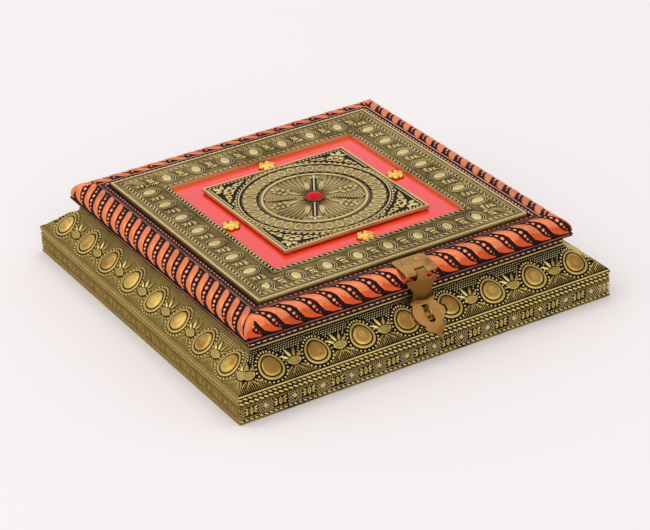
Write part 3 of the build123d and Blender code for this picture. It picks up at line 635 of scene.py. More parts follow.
class Relief:
    """Raised work on one face, in its own millimetres: x along it, y up it, z out of its ground."""

    def __init__(self):
        self.bm = bmesh.new()

    def stamp(self, motif, x, y, turn=0.0, size=(1, 1, 1), z=0.0):
        copy = motif.copy()
        place = Matrix.Translation((x, y, z)) @ Matrix.Rotation(turn, 4, "Z") @ Matrix.Diagonal((*size, 1))
        copy.transform(place)
        if place.determinant() < 0:
            copy.flip_normals()
        self.bm.from_mesh(copy)
        bpy.data.meshes.remove(copy)

    def line(self, y, width, height, top=1.0, z=0.0):
        """Ridge along x, as long as the box is wide."""
        self.stamp(bar(full_width, width, height, top), 0, y, z=z)

    def leaf_pairs(self, leaves):
        """Leaves mirrored to both sides. Each is x, y, turn in degrees, length, width, height and bend."""
        for across in (-1, 1):
            for x, y, turn, length, width, height, bend in leaves:
                shape = leaf(length, width, height, bend * across)
                self.stamp(shape, x * across, y, radians(turn) * across)

    def row(self, motif, y, pitch, half, turn=0.0, shift=0.0, z=0.0):
        """Motifs along x on both sides of the middle, as far as half."""
        count = int(half / pitch)
        for i in range(-count, count + 1):
            self.stamp(motif, i * pitch + shift, y, turn, z=z)

    def ring(self, motif, count, radius, size=(1, 1, 1), start=0.0, turn=0.0, z=0.0):
        """Motifs round a circle, their y outwards."""
        for i in range(count):
            angle = start + 2 * pi * i / count
            self.stamp(motif, radius * cos(angle), radius * sin(angle), angle - pi / 2 + turn, size, z)

    def dots(self, y_low, y_high, half, pitch, size, keep):
        """Staggered square dots over a band, where keep says so."""
        rows = round((y_high - y_low) / (pitch * 0.8))
        for j in range(rows + 1):
            y = y_low + j * (y_high - y_low) / rows
            count = int(half / pitch)
            for i in range(-count, count + 1):
                x = (i + 0.5 * (j % 2)) * pitch
                if keep(x, y):
                    self.stamp(bright_square, x, y, 0, size)

    def to_mesh(self, name):
        mesh = bpy.data.meshes.new(name)
        self.bm.to_mesh(mesh)
        self.bm.free()
        return mesh

    def to_object(self, name, body, finish, place, turn=None, tone=(0.0, 1.0)):
        """Puts the work on the box. With a turn, it is a front piece cut at both mitres first.
        Its tone is the rise of its hollows and of its tops."""
        rise = self.bm.verts.layers.float.get("rise")
        for vert in self.bm.verts:
            vert[rise] = tone[0] + (tone[1] - tone[0]) * vert[rise]
        bmesh.ops.transform(self.bm, matrix=place, verts=self.bm.verts)
        if turn is not None:
            for across in (-1, 1):
                cut_off(self.bm, (0, 0, 0), (across, 1, 0))
            bmesh.ops.rotate(self.bm, cent=(0, 0, 0), matrix=Matrix.Rotation(turn, 3, "Z"),
                             verts=self.bm.verts)
        mesh = self.to_mesh(name)
        for polygon in mesh.polygons:
            polygon.use_smooth = True
        mesh.materials.append(finishes[finish])
        obj = in_scene(name, mesh)
        obj.modifiers.new("sharp edges", "EDGE_SPLIT").split_angle = radians(50)
        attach(obj, body)
        return obj


def place_at(x, y, z):
    """Places work in millimetres, its origin at that point."""
    return Matrix.Scale(mm, 4) @ Matrix.Translation((x, y, z))


def face_place(half, z, tilt):
    """Places a front face's work: its origin at that half width and height, tilted up."""
    return place_at(0, -half, z) @ Matrix.Rotation(tilt, 4, "X")


def off_row(x, start, pitch):
    """How far x lies past the nearest place of an endless row."""
    return (x - start + pitch / 2) % pitch - pitch / 2


def round_oval(count, half_x, half_y):
    """Angles and points round an oval."""
    for i in range(count):
        angle = 2 * pi * (i + 0.5) / count
        yield angle, half_x * cos(angle), half_y * sin(angle)


pearl = as_motif(dome(), "pearl")
# Bright pearls and square dots rise past 1 at their tops, which paints a pale highlight on them.
bright_pearl = as_motif(dome(), "bright_pearl", 1.3)
hollow = bar(1, 1, 1, 0.0)
pit_shade_dot = as_motif(dome(), "pit_shade_dot", 0.0)
bright_square = bar(1, 1, 1, 1.35)

# Shoulder: eggs in rings of pearls, with buds, flames and tendrils between them
egg_pitch = 29.7
egg_shift = by_side(3.75, 0.55, 5.95, -2.65)
egg_count = 8
egg_y = 11.75
egg_half_x = 7.6
egg_half_y = 8.35
egg_taper = 0.18
pearl_count = 26
bud_y = 10.6
comb_top = 9.4
tooth_pitch = 1.28
dot_pitch = 1.62
dot_reach = 124
crumb_reach = 108
# Each side's tone of hollows and tops, and of its ridge line. The left side's are set apart, evener and
# lower in contrast: painted light, for how light falls on that side.
shoulder_tone = by_side((0.0, 1.0), (0.12, 1.05), (0.08, 1.0), (0.1, 0.92))
dome_tone = by_side((0.0, 0.95), (0.0, 1.1), (0.0, 1.1), (0.1, 1.05))
side_tone = by_side((0.05, 1.05), (0.1, 1.0), (0.1, 1.0), (0.34, 0.62))
ridge_top = by_side(0.9, 0.9, 0.9, 0.35)
base_relief = {side: "brass_relief_left" if side == "left" else "brass_relief" for side in side_names}
# The staple's plate is let into the front shoulder, where the work stops
plate_lo, plate_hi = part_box("staple_plate")
plate_margin = 0.3
plate_left = plate_lo.x / mm - plate_margin
plate_right = plate_hi.x / mm + plate_margin
plate_foot = (-plate_lo.y / mm - base_half) / -cos(slope) - plate_margin
plate_head = plate_foot + 8 + 2 * plate_margin
plate_x = (plate_left + plate_right) / 2
plate_y = (plate_foot + plate_head) / 2
plate_r = (plate_head - plate_foot) / 2


def egg_plan(x, y):
    return x * egg_half_x * (1 - egg_taper * y), y * egg_half_y


# The eggs stand clear over the part's own plain bosses, which reach 0.8 up round the rim
egg_rim = boss(36, [(1.06, 0.03, 0.0), (1.0, 0.2, 0.2), (0.98, 0.9, 1.0), (0.945, 1.06, 1.0),
                    (0.91, 1.0, 0.6), (0.86, 0.98, 0.6), (0.84, 0.96, 0.9), (0.82, 0.84, 0.0),
                    (0.735, 0.84, 0.0)], egg_plan, "egg_rim")
egg_dome = boss(36, [(0.74, 0.8, 0.0), (0.725, 0.9, 0.3), (0.705, 1.04, 0.9), (0.68, 1.2, 1.0),
                     (0.6, 1.5, 0.85), (0.42, 1.85, 0.72), (0.2, 2.05, 0.8)], egg_plan, "egg_dome")
bud = boss(20, [(1.3, 0.06, 0.0), (1.26, 0.5, 0.0), (1.02, 0.5, 0.0), (0.96, 0.74, 1.0),
                (0.86, 0.78, 0.9), (0.76, 0.66, 0.45), (0.62, 0.7, 0.5), (0.4, 0.84, 0.68),
                (0.2, 0.88, 0.72)], lens(4.3, 2.55), "bud")
# Each flame: angle from upright, length, width, bend and the rise of its top: how rubbed it is and, past
# 1, a painted pale highlight
flames = [(-46, 7.0, 2.6, -1.2, 1.2), (-15, 7.9, 2.8, -0.9, 1.25), (15, 7.3, 2.8, 0.5, 0.75),
          (44, 6.0, 2.6, 0.9, 0.7)]
# Each tendril's points from the middle of the bud, mirrored to its other side
tendrils = [[(2.6, -2.9), (4.6, -3.7), (6.2, -5.3), (8.4, -5.7)],
            [(1.0, -3.2), (2.0, -4.8), (3.6, -6.2), (4.6, -8.2)]]


def on_plate(side, x, y):
    past_end = max(0.0, abs(x - plate_x) - (plate_right - plate_left) / 2 + plate_r)
    return side == "front" and hypot(past_end, y - plate_y) < plate_r


def stamp_by_plate(work, motif, side, x, y, half):
    """Stamps a motif, cut away over the staple's plate where that reaches it."""
    for end, inward in ((plate_left, 1), (plate_right, -1)):
        if on_plate(side, x + inward * half, plate_y):
            off = Vector((x, y, 0))
            tip = Vector((end, plate_y, 0)) - off
            centre = tip + Vector((inward * plate_r, 0, 0))
            outside = [(tip, (inward, 0, 0))]
            work.stamp(clipped(motif, outside), x, y)
            for up in (-1, 1):
                edge = centre + Vector((0, up * plate_r, 0))
                slant = centre + Vector((-inward, up, 0)) * plate_r / sqrt(2)
                work.stamp(clipped(motif, [(tip, (-inward, 0, 0)), (edge, (0, -up, 0))]), x, y)
                work.stamp(clipped(motif, [(tip, (-inward, 0, 0)), (edge, (0, up, 0)),
                                           (slant, (inward, -up, 0))]), x, y)
            return
    work.stamp(motif, x, y)


def sprouts():
    """Flames above a bud and tendrils below it, as one motif at the bud's middle."""
    work = Relief()
    for angle, length, width, bend, top in flames:
        a = radians(angle)
        work.stamp(flame(length, width, 0.85, bend, top), 2.6 * sin(a), 2.0 * cos(a), -a)
    for points in tendrils + [[(-x, y) for x, y in points] for points in tendrils]:
        work.stamp(stroke(points, (1.6, 1.5, 1.4, 0.5), 0.68), 0, 0)
    root = [(0, -3.0), (-0.2, -4.2), (-0.6, -5.4), (-0.9, -6.8)]
    work.stamp(stroke(root, (1.4, 1.3, 1.1, 0.4), 0.62), 0, 0)
    work.stamp(bud, 0, 0)
    return work.to_mesh("sprouts")


def has_dots(side, x):
    """No dots on the left shoulder along its top, but for its front end."""
    return side != "left" or x > 78


def shoulder_work(side):
    work = Relief()
    rng = random.Random(side)
    starts = [egg_shift[side] + (i - (egg_count - 1) / 2) * egg_pitch for i in range(egg_count)]
    buds = [starts[0] - egg_pitch / 2] + [s + egg_pitch / 2 for s in starts]
    domes = Relief()
    for x in starts:
        stamp_by_plate(work, egg_rim, side, x, egg_y, egg_half_x)
        stamp_by_plate(domes, egg_dome, side, x, egg_y, egg_half_x)
        for angle, px, py in round_oval(pearl_count, 1.19, 1.17):
            px, py = egg_plan(px, py)
            upper = max(0.0, sin(angle))
            size = (0.74 + 0.3 * upper, 0.7, 0.8)
            if not on_plate(side, x + px, egg_y + py):
                work.stamp(bright_pearl, x + px, egg_y + py, atan2(py, px), size)
    sprout_mesh = sprouts()
    above_plate = clipped(sprout_mesh, [((0, plate_head - bud_y, 0), (0, -1, 0))])
    for x in buds:
        work.stamp(above_plate if on_plate(side, x, bud_y) else sprout_mesh, x, bud_y)

    def free(x, y):
        by_egg = any(hypot((x - s) / egg_half_x, (y - egg_y) / egg_half_y) < 1.3 for s in starts)
        by_bud = any(abs(x - b) < 2.6 + 0.3 * (y - bud_y) and y < 18.2 for b in buds)
        return not by_egg and not by_bud and not on_plate(side, x, y) and has_dots(side, x)
    work.dots(comb_top + 1, slope_length - 1.9, dot_reach, dot_pitch, (0.95, 0.82, 0.7), free)
    if side != "left":
        work.row(bar(0.9, 0.8, 0.7, highlight_rise), slope_length - 0.7, dot_pitch, crumb_reach,
                 z=relief - 0.1)
    for i in range(-99, 100):
        x = i * tooth_pitch
        gaps = [s for s in starts if abs(x - s) < egg_half_x * 1.22]
        if gaps:
            share = abs(x - gaps[0]) / (egg_half_x * 1.22)
            top = egg_y - 1.27 * egg_half_y * sqrt(1 - share * share)
        else:
            top = comb_top
        if on_plate(side, x, plate_foot + 1):
            top = min(top, plate_foot)
        if abs(off_row(x, buds[0], egg_pitch)) < 5.6:
            top = min(top, bud_y - 3.2)
        if top > 1.6:
            height = 0.34 + 0.14 * rng.random()
            work.stamp(bar(0.62, top - 0.9, height, 0.95), x, (top + 0.9) / 2)
    work.line(0.12, 0.6, 0.5, ridge_top[side])
    place = face_place(base_half - relief * sin(slope), ridge_z - relief * cos(slope), slope)
    work.to_object(f"shoulder_work_{side}", "base", base_relief[side], place,
                   turns[side], shoulder_tone[side])
    domes.to_object(f"shoulder_domes_{side}", "base", "dome_brass", place, turns[side],
                    dome_tone[side])


# Upright side: two ropes, a dotted band with sprigs, and a rope along the foot
foot_z = 0.3
strand_pitch = 3.14
sprig_pitch = 18.6
sprig_y = 6.8
sprig_half_x = 4.7
sprig_half_y = 2.9
side_reach = base_half + sprig_half_x
side_dot_pitch = 1.36
side_dot_reach = 128


def sprig():
    """Upright lens between two dark hollows, with three leaflets on each side."""
    work = Relief()
    work.stamp(boss(14, [(1.25, 0.03, 0.0), (1.0, 0.12, 0.3), (0.9, 0.55, 1.0), (0.72, 0.5, 0.9),
                         (0.5, 0.4, 0.4), (0.3, 0.5, 0.6)], lens(2.6, 1.2), "lens"), 0, 0, pi / 2)
    for side in (-1, 1):
        for angle, length in ((-48, 3.4), (-88, 3.1), (-126, 3.2)):
            a = radians(angle) * side
            work.stamp(leaf(length, 1.5, 0.57, 0.3 * side, 1.15), side * 1.65, 0.9 * cos(a), a)
    return work.to_mesh("sprig")


def side_work(side):
    work = Relief()
    # The left side's upper rope rises higher: a stronger painted highlight on that side.
    top_rise = 1.9 if side == "left" else 1.1
    work.row(strand(4.2, 1.35, 0.56, top_rise), 15.3, strand_pitch, side_reach, radians(-30))
    work.row(strand(4.0, 1.35, 0.57, 1.2), 12.5, strand_pitch, side_reach, radians(-26), shift=0.9)
    work.row(strand(3.7, 1.45, 0.57, 1.2), 1.15, strand_pitch, side_reach, radians(-30), shift=0.6)
    work.row(bar(0.8, 0.8, 0.5), 10.2, side_dot_pitch, side_reach)
    work.line(11.0, 0.4, 0.36, 0.6)
    shift = (egg_shift[side] - sprig_pitch) / 2
    work.row(sprig(), sprig_y, sprig_pitch, side_reach, shift=shift)
    diamond = boss(4, [(1.4, 0.03, 0.0), (1.0, 0.1, 0.4), (0.75, 0.56, 1.0)],
                   lambda x, y: (x * 1.9, y * 1.7), "diamond")
    work.row(diamond, sprig_y, sprig_pitch, side_reach, shift=shift + sprig_pitch / 2)

    def free(x, y):
        off = off_row(x, shift, sprig_pitch)
        at_sprig = abs(x - off - shift) < side_reach - sprig_half_x
        by_diamond = abs(abs(off) - sprig_pitch / 2) + abs(y - sprig_y) < 2.2
        return not by_diamond and not (at_sprig and abs(off) < sprig_half_x
                                       and abs(y - sprig_y) < sprig_half_y)
    work.dots(3.0, 9.1, side_dot_reach, side_dot_pitch, (0.88, 0.8, 0.55), free)
    work.to_object(f"side_work_{side}", "base", base_relief[side],
                   face_place(base_half - relief, foot_z, pi / 2), turns[side], side_tone[side])


# Neck: a line over the shoulder and copper dashes in the lid's shadow
dash_y = 3.6
dash_pitch = 3.9
dash_reach = 107


def neck_work(side):
    work = Relief()
    place = face_place(shoulder_half - relief, shoulder_z, pi / 2)
    # The line is dimmer on the left: painted light, as with that side's other tones.
    work.line(1.3, 1.3, 0.55, 0.45 if side == "left" else 1.0)
    work.to_object(f"neck_work_{side}", "base", "brass_relief", place, turns[side])
    dashes = Relief()
    # The dashes rise to 1.5 at their tops: a painted pale highlight, so that they show in the lid's
    # shadow.
    dashes.row(strand(3.1, 1.1, 0.58, 1.5), dash_y, dash_pitch, dash_reach, radians(-4))
    dashes.line(dash_y, 1.3, 0.3, 0.6)
    dashes.to_object(f"neck_dashes_{side}", "base", "copper_edge", place, turns[side])


# Lid moulding: twisted ribbons with beads between them, worked flat and then bent over it
ribbon_run = 13.1
ribbon_pitch = by_side(13.1, 13.1, 13.1, 12.0)
ribbon_foot = by_side(-60.6, -60.0, -61.0, -33.3)
ribbon_low = 2.3
ribbon_high = 20.6
ribbon_half = by_side(3.15, 3.15, 3.15, 2.85)
bead_across = 6.1
# Each bead of a channel: how far up the moulding it lies, half length and half width
bead_row = [(18.0, 1.1, 0.5), (15.5, 1.4, 0.85), (12.3, 1.5, 1.35), (9.1, 1.25, 1.25),
            (6.8, 1.05, 1.05), (5.0, 0.75, 0.6)]
lump_half = 3.7
lump_h = 0.98


def ribbon_across(u):
    """How far across from its foot the middle of a ribbon lies, for u -1 at its foot to 1."""
    return -12 - 3.8 * u - (4.7 * u ** 2 if u > 0 else -7.4 * u ** 6)


def ribbon(half):
    """Twisted ribbon of a half width at its middle, fuller towards its foot than its crest."""
    def rule(x, y, z):
        u = min(1.0, max(-1.0, y))
        up = ribbon_low + (ribbon_high - ribbon_low) * (y + 1) / 2
        full = max(0.3, sqrt(1 - u * u)) ** (-0.8 if u < 0 else -0.5)
        across = ribbon_across(u) + x * half * full * sqrt(1 + u * u)
        return Vector((across, up, 0.8 * lifted(z, 0.2)))
    return blob(16, 22, rule, "ribbon", skirt=1.06)


def over_moulding(x, s, h):
    """Point of the front moulding: x along it, s up and over its profile, h off its surface."""
    if s < face_h:
        return Vector((x, -(lid_half + h), lid_z + s)) * mm
    if s < face_h + arc_length:
        a = (s - face_h) / moulding_r
        return Vector((x, -(crest_half + (moulding_r + h) * cos(a)),
                       arc_z + (moulding_r + h) * sin(a))) * mm
    inward = s - face_h - arc_length
    fall = crest_fall * inward / (crest_w + rope_w)
    return Vector((x, -(crest_half - inward), crest_z - fall + h)) * mm


def corner_lump():
    """Plain lump over the mitre, from the foot of the moulding to its crest."""
    def rule(x, y, z):
        up = ribbon_low + 0.6 + (ribbon_high - ribbon_low - 2.2) * (y + 1) / 2
        a = min(1.0, max(0.0, (up - face_h) / arc_length)) * pi / 2
        return Vector((x * lump_half * (1 - 0.3 * y) - crest_half - moulding_r * cos(a), up,
                       lump_h * lifted(z, 0.5)))
    return blob(16, 16, rule, "lump", skirt=1.08)


# The beads rise to 1.35 at their tops: a painted pale highlight.
bead = as_motif(dome(), "bead", 1.35)


def moulding_work(side):
    work = Relief()
    lump = corner_lump()
    for across in (1,) if side == "front" else (-1, 1):
        work.stamp(lump, 0, 0, 0, (across, 1, 1), -relief)
    pitch = ribbon_pitch[side]
    narrow = pitch / ribbon_run
    shape = ribbon(ribbon_half[side])
    reach = lid_half + 2 * ribbon_run
    for i in range(-12, 17):
        foot = ribbon_foot[side] + i * pitch
        if abs(foot) > reach:
            continue
        work.stamp(shape, foot, 0, 0, (narrow, 1, 1), -relief)
        for s, half_long, half_wide in bead_row:
            u = 2 * (s - ribbon_low) / (ribbon_high - ribbon_low) - 1
            x = foot + (ribbon_across(u) + bead_across) * narrow
            work.stamp(bead, x, s, radians(-52), (half_long, half_wide, 0.8), -relief)
    reshape(work.bm, over_moulding)
    work.to_object(f"moulding_work_{side}", "lid", "copper_relief", Matrix.Identity(4),
                   turns[side])


foot_line = by_side(1.35, 1.35, 1.35, 0.7)
edge_tone = by_side((0.0, 1.0), (0.5, 1.1), (0.5, 1.1), (0.0, 1.0))
crest_dash_pitch = 3.3
crest_dash_reach = 98


def moulding_edge(side):
    """Line along the foot of the moulding, and lines and dashes along its crest."""
    work = Relief()
    top_rope = face_h + arc_length + crest_w + rope_w / 2
    for s, width, height in ((21.0, 0.7, 0.55), (22.1, 0.35, 0.5)):
        work.line(s, width, height, 0.85, -relief)
    work.line(foot_line[side], 1.25, 0.25)
    # The crest dashes rise to 1.5 at their tops: a painted pale highlight.
    work.row(strand(2.8, 0.95, 0.4, 1.5), top_rope + 0.9, crest_dash_pitch, crest_dash_reach,
             radians(-10))
    work.line(top_rope - 1.1, 0.4, 0.34, 1.1)
    reshape(work.bm, over_moulding)
    work.to_object(f"moulding_edge_{side}", "lid", "copper_edge", Matrix.Identity(4), turns[side],
                   edge_tone[side])


# Frame strips: ovals in double hoops between ropes, with leaf crowns between them
oval_pitch = 20.65
oval_shift = by_side(3.0, 1.5, -2.0, -4.3)
oval_y = 13.6
frame_tone = by_side((0.0, 0.98), (0.14, 1.0), (0.2, 1.0), (0.0, 0.95))
rope_top = by_side(0.95, 0.9, 0.8, 1.15)
frame_rope_pitch = 3.5
frame_reach = 92
inner_reach = 72
fine_pitch = 1.12
fine_count = 82


def rim():
    """Rolled outer rim of a frame strip, from the upper part of its wall over to its top."""
    section = [(0.2, -0.9), (-0.04, -0.9), (-0.12, -0.5), (-0.08, 0.1), (0.15, 0.4), (0.5, 0.55),
               (0.9, 0.55), (1.1, 0.3), (0.4, 0.0)]
    bm = bmesh.new()
    ends = [bm.verts.new((-full_width / 2, y, z)) for y, z in section]
    bm.faces.new(ends)
    for vert in new_verts(bmesh.ops.extrude_face_region(bm, geom=bm.faces[:])):
        vert.co.x = full_width / 2
    rise = bm.verts.layers.float.new("rise")
    for vert in bm.verts:
        # Darker at the foot of its wall and bright over its top: painted shade below the rim.
        vert[rise] = 0.5 if vert.co.z < -0.8 else 1.1
    return as_motif(bm, "rim")


def crown():
    """Short bar with a fan of leaves inwards and a splayed pair outwards."""
    work = Relief()
    work.stamp(strand(4.7, 1.5, 0.75, 1.1), 0, 0)
    for angle, length in ((-58, 3.3), (-24, 4.0), (24, 4.0), (58, 3.3), (0, 3.4)):
        work.stamp(leaf(length, 1.3, 0.66), 1.3 * sin(radians(-angle)), 1.5, radians(angle))
    for angle, length in ((150, 4.6), (210, 4.6), (180, 2.6), (118, 2.8), (242, 2.8)):
        work.stamp(leaf(length, 1.25, 0.62), 0, -1.4, radians(angle))
    return work.to_mesh("crown")


def frame_work(side):
    work = Relief()
    oval = boss(24, [(1.14, 0.03, 0.0), (1.0, 0.12, 0.4), (0.93, 0.6, 1.1), (0.75, 0.78, 1.0),
                     (0.4, 0.9, 0.95)], lambda x, y: (x * 2.75, y * 4.2), "oval")
    hoops = [hoop(3.9, 5.35, 0.6, 0.6, line=0.4), hoop(5.2, 6.8, 0.6, 0.55, line=0.35)]
    ray = bar(0.5, 1.5, 0.4)
    spots = [oval_shift[side] + i * oval_pitch for i in range(-4, 5)]
    crown_mesh = crown()
    for x in spots:
        for shape in [oval] + hoops:
            work.stamp(shape, x, oval_y)
        for _, px, py in round_oval(28, 6.5, 8.1):
            work.stamp(ray, x + px, oval_y + py, atan2(py, px) - pi / 2)
        work.stamp(crown_mesh, x + oval_pitch / 2, oval_y)

    fine = bar(0.5, 1, 0.4)
    for i in range(-fine_count, fine_count + 1):
        x = i * fine_pitch
        by_oval = abs(off_row(x, spots[0], oval_pitch)) < 5
        for low, high in ((7.4, 8.3 if by_oval else 9.3), (20.7 if by_oval else 18.6, 21.8)):
            work.stamp(fine, x, (low + high) / 2, 0, (1, high - low, 1))
    work.stamp(rim(), 0, 0)
    work.row(leaf(3.0, 1.2, 0.5, 0.9), 1.3, frame_rope_pitch / 2, frame_reach, radians(-30))
    work.row(strand(3.4, 1.15, 0.7, rope_top[side]), 5.6, frame_rope_pitch, frame_reach, radians(-42))
    work.line(3.95, 0.9, 0.5, 0.9)
    work.line(6.85, 0.45, 0.5)
    work.line(23.55, 0.8, 0.5, 0.9)
    work.row(strand(3.1, 1.25, 0.62, rope_top[side]), 25.1, frame_rope_pitch, inner_reach, radians(-46),
             z=relief - 0.3)
    work.to_object(f"frame_work_{side}", "lid", "lid_brass_relief",
                   face_place(frame_half, frame_z - relief, 0), turns[side], frame_tone[side])


# Centre tile: a fluted ring round a wheel of spokes, with leaves and scrolls in its corners
rim_r = 32.0
band_low = 34.3
band_high = 44.6
circle_r = 45.3
spoke_turn = radians(60)
tongue_count = 40
ring_rope_count = 84
corner_r = 55.0
border_r = 47.4
border_pitch = 2.55


def narrow_spoke():
    """Bright line between leaves, with a trefoil at its end, pointing up +y from the socket."""
    work = Relief()
    work.stamp(hollow, 0, 16.5, 0, (3.6, 19.0, 2 * skirt_z))
    work.stamp(bar(18.0, 1.3, 0.75, highlight_rise), 0, 16.5, pi / 2)
    work.leaf_pairs([(3.4, 9.0, -9, 15.0, 4.6, 0.6, -0.8), (0.6, 25.6, -55, 4.2, 2.6, 0.7, 0.5)])
    work.stamp(leaf(4.6, 2.6, 0.75, 0, highlight_rise), 0, 26.0)
    return work.to_mesh("narrow_spoke")


def broad_spoke():
    """Flared feather filled with chevrons, on a dark ground."""
    work = Relief()
    work.stamp(boss(16, [(1.0, 2 * skirt_z, 0.0), (0.5, 2 * skirt_z, 0.0)],
                    lambda x, y: (x * 4.2 * (1 + 0.35 * y), y * 10.6), "ground"), 0, 21.0)
    for i in range(11):
        y = 11.5 + i * 1.9
        reach = 1.0 + 0.26 * (i + 1)
        for side in (-1, 1):
            work.stamp(bar(reach * 1.35, 1.05, 0.7), side * reach * 0.5, y - reach * 0.36,
                       -radians(36) * side)
    return work.to_mesh("broad_spoke")


def leafy_spray():
    """Lobed leaf on a stem."""
    work = Relief()
    work.stamp(leaf(14.0, 2.6, 0.6, 0.4), 0, 8.0)
    work.leaf_pairs([(0.5, 17.0 + i * 3.6, -46, 5.2 - 0.5 * i, 3.2, 0.66, 0.6) for i in range(3)])
    work.stamp(leaf(4.4, 2.8, 0.7), 0, 25.8)
    return work.to_mesh("leafy_spray")


def corner_leaves():
    """Heart, leaves and scrolls that fill a corner outside the circle, pointing up +y."""
    work = Relief()
    work.stamp(boss(3, [(1.0, 2 * skirt_z, 0.0), (0.5, 2 * skirt_z, 0.0)],
                    lambda x, y: (x * 28.0, (y + 0.5) * 16.2 - 10.6), "ground"), 0, 0)
    work.stamp(leaf(6.8, 4.6, 0.8, 0, 1.1), 0, 3.2)
    work.leaf_pairs([
        (0.9, 2.8, -52, 5.6, 3.5, 0.72, 0.6), (1.0, 0.4, -98, 5.2, 3.3, 0.72, 0.0),
        (6.0, -1.8, -100, 4.6, 2.6, 0.66, 0.8), (10.6, -4.4, -112, 5.4, 2.3, 0.66, 0.0),
        (6.4, -2.4, -150, 3.6, 2.0, 0.66, 0.0), (14.8, -7.6, -122, 5.0, 1.9, 0.6, 0.0),
    ])
    for across in (-1, 1):
        work.stamp(hoop(1.9, 1.6, 1.1, 0.6, 14), 3.2 * across, -3.0)
        work.stamp(hoop(1.6, 1.4, 1.0, 0.6, 12), 9.4 * across, -4.2)
        work.stamp(pearl, 13.0 * across, -9.0, 0, (1.2, 1.0, 0.66))
    work.stamp(pearl, 0, 0.8, 0, (1.7, 1.6, 0.75))
    work.stamp(pearl, 0, -3.6, 0, (1.3, 1.2, 0.65))
    return work.to_mesh("corner_leaves")


def tile_work():
    work = Relief()
    tongue = boss(14, [(1.1, -0.1, 0.0), (1.0, 0.12, 0.05), (0.86, 0.34, 1.0), (0.7, 0.3, 0.9),
                       (0.55, 0.2, 0.45), (0.2, 0.16, 0.4)],
                  lambda x, y: (x * 2.5 * (1 + 0.12 * y), y * 4.5), "tongue")
    middle, width = (band_low + band_high) / 2, band_high - band_low
    work.stamp(hoop(middle, middle, width, 0.36, 96, 0.5), 0, 0)
    work.ring(tongue, tongue_count, middle, z=0.28)
    for radius, thick, height in ((circle_r + 0.7, 1.0, 0.6), (rim_r - 0.1, 2.2, 0.5)):
        work.stamp(hoop(radius, radius, thick, height, 96, 0.4), 0, 0)
    work.ring(strand(2.5, 1.1, 0.62, 1.25), ring_rope_count, circle_r + 2.2, start=0.01, turn=radians(22))
    for i in range(2):
        turn = spoke_turn + i * pi
        work.ring(narrow_spoke(), 1, 0, start=turn)
        work.ring(broad_spoke(), 1, 0, start=turn + pi / 2)
        for off in (25, -25):
            work.ring(leafy_spray(), 1, 0, start=turn + pi / 2 + radians(off))
    ray = leaf(22.0, 2.1, 0.5)
    for i in range(4):
        side = 1 if i % 2 else -1
        for j in range(6):
            a = spoke_turn + i * pi / 2 + (pi / 2 if side > 0 else 0) - side * radians(17 + 6.4 * j)
            work.ring(ray, 1, 30.2, start=a, turn=pi)
    for quarter in range(4):
        edge = quarter * pi / 2
        work.ring(corner_leaves(), 1, corner_r, start=pi / 4 + edge)
        for i in range(-18, 19):
            along = i * border_pitch
            x = cos(edge) * along - sin(edge) * border_r
            y = sin(edge) * along + cos(edge) * border_r
            if abs(along) > 16:
                work.stamp(strand(2.4, 1.1, 0.6), x, y, edge + radians(24))
    work.to_object("tile_work", "lid", "lid_brass_relief",
                   place_at(0, 0, tile_z - relief), tone=(0.1, 1.05))


# Each part's count, radius from the middle, half sizes and height off the panel
rosette_parts = [("body", 1, 0.0, (4.7, 4.7, 3.3), 0.0), ("petal", 6, 3.7, (2.3, 2.1, 2.2), 0.0),
                 ("core", 1, 0.0, (2.4, 1.6, 1.0), 2.9)]
rosette_h = 3.4


def rosette(side):
    """Gold flower of domed petals with two dark dots on it, painted as the shade in two pits, in place of
    the plain one.
    """
    low, high = (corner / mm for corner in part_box("rosette_" + side))
    work = Relief()
    for part, count, radius, size, z in rosette_parts:
        round_top = blob(10, 8, lambda x, y, z: Vector((x, y, lifted(z, 0.75))), part, 1.0, 1.0)
        work.ring(round_top, count, radius, size, 0.3 + count, z=z)
    # Two small dark domes on its top: painted shade for the pits.
    for across in (-1, 1):
        work.stamp(pit_shade_dot, 1.3 * across, 0.4, 0, (0.85, 0.75, 0.75), z=rosette_h)
    middle = (low + high) / 2
    place = place_at(middle.x, middle.y, low.z)
    flower = work.to_object(f"rosette_flower_{side}", "lid", "gold_relief", place, tone=(-0.1, 0.85))
    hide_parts("rosette_" + side)


for side in side_names:
    rosette(side)
for side in side_names:
    shoulder_work(side)
    side_work(side)
    neck_work(side)
    moulding_work(side)
    moulding_edge(side)
    frame_work(side)
tile_work()

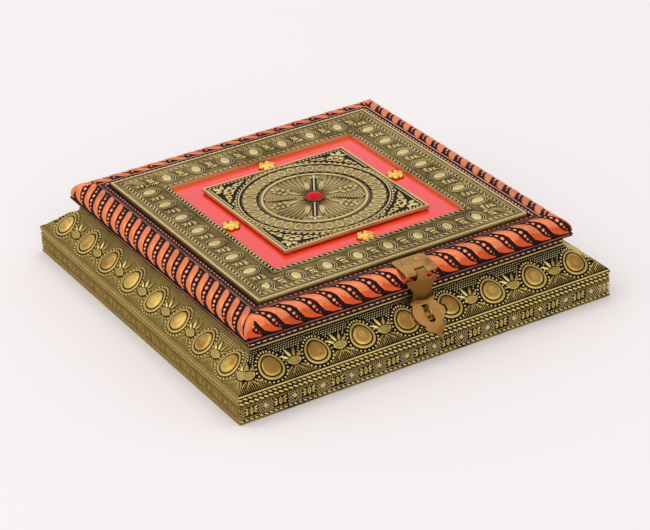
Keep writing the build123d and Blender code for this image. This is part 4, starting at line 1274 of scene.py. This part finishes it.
# Softened edges on the fittings
for name, obj in nodes.items():
    if any(word in name for word in ("hasp", "staple", "hinge", "bezel", "panel")):
        obj.modifiers.new("weld", "WELD").merge_threshold = 1e-6
        soft = obj.modifiers.new("soft edges", "BEVEL")
        soft.width = 0.00025
        soft.segments = 2
        soft.limit_method = "ANGLE"
        soft.angle_limit = radians(40)

# Stage, lamps and world
floor_mesh = bpy.data.meshes.new("floor")
bm = bmesh.new()
bmesh.ops.create_grid(bm, x_segments=1, y_segments=1, size=8)
bm.to_mesh(floor_mesh)
bm.free()
floor = in_scene("floor", floor_mesh)
tree, shader = new_finish("floor_cloth")
mottle = noise(tree, place_on_box(tree), 2.0, 2.0)
floor_colour = mixed(tree, mottle, rgb(0.965, 0.945, 0.95), rgb(0.975, 0.955, 0.955))
feed(tree, shader, {"Base Color": floor_colour, "Roughness": 0.9, "Specular IOR Level": 0.0})
floor_mesh.materials.append(finishes["floor_cloth"])

world = bpy.data.worlds.new("world")
bpy.context.scene.world = world
world.use_nodes = True
tree = world.node_tree
tree.nodes.clear()
path = tree.nodes.new("ShaderNodeLightPath")
seen = calc(tree, "MAXIMUM", path.outputs["Is Camera Ray"], path.outputs["Is Glossy Ray"])
seen = calc(tree, "MAXIMUM", seen, path.outputs["Is Transmission Ray"])
lit = add(tree, "ShaderNodeBackground", {"Color": (1.0, 0.98, 0.98, 1), "Strength": 0.75})
shown = add(tree, "ShaderNodeBackground", {"Color": rgb(0.93, 0.92, 0.945), "Strength": 1.0})
shader_mix = add(tree, "ShaderNodeMixShader", {0: seen, 1: lit, 2: shown})
tree.links.new(shader_mix, tree.nodes.new("ShaderNodeOutputWorld").inputs["Surface"])


def lamp(name, azimuth, elevation, distance, size, power):
    """Square soft lamp aimed at the box."""
    data = bpy.data.lights.new(name, "AREA")
    data.size = size
    data.energy = power
    lamp_object = in_scene(name, data)
    away = direction(azimuth, elevation)
    lamp_object.matrix_world = (Matrix.Translation(away * distance)
                                @ away.to_track_quat("Z", "Y").to_matrix().to_4x4())


lamp("key", 235, 50, 2.2, 1.2, 9)
lamp("top", 120, 75, 2.2, 1.6, 5)
lamp("front", -10, 22, 2.4, 1.6, 9)

bpy.context.scene.view_settings.view_transform = "Standard"
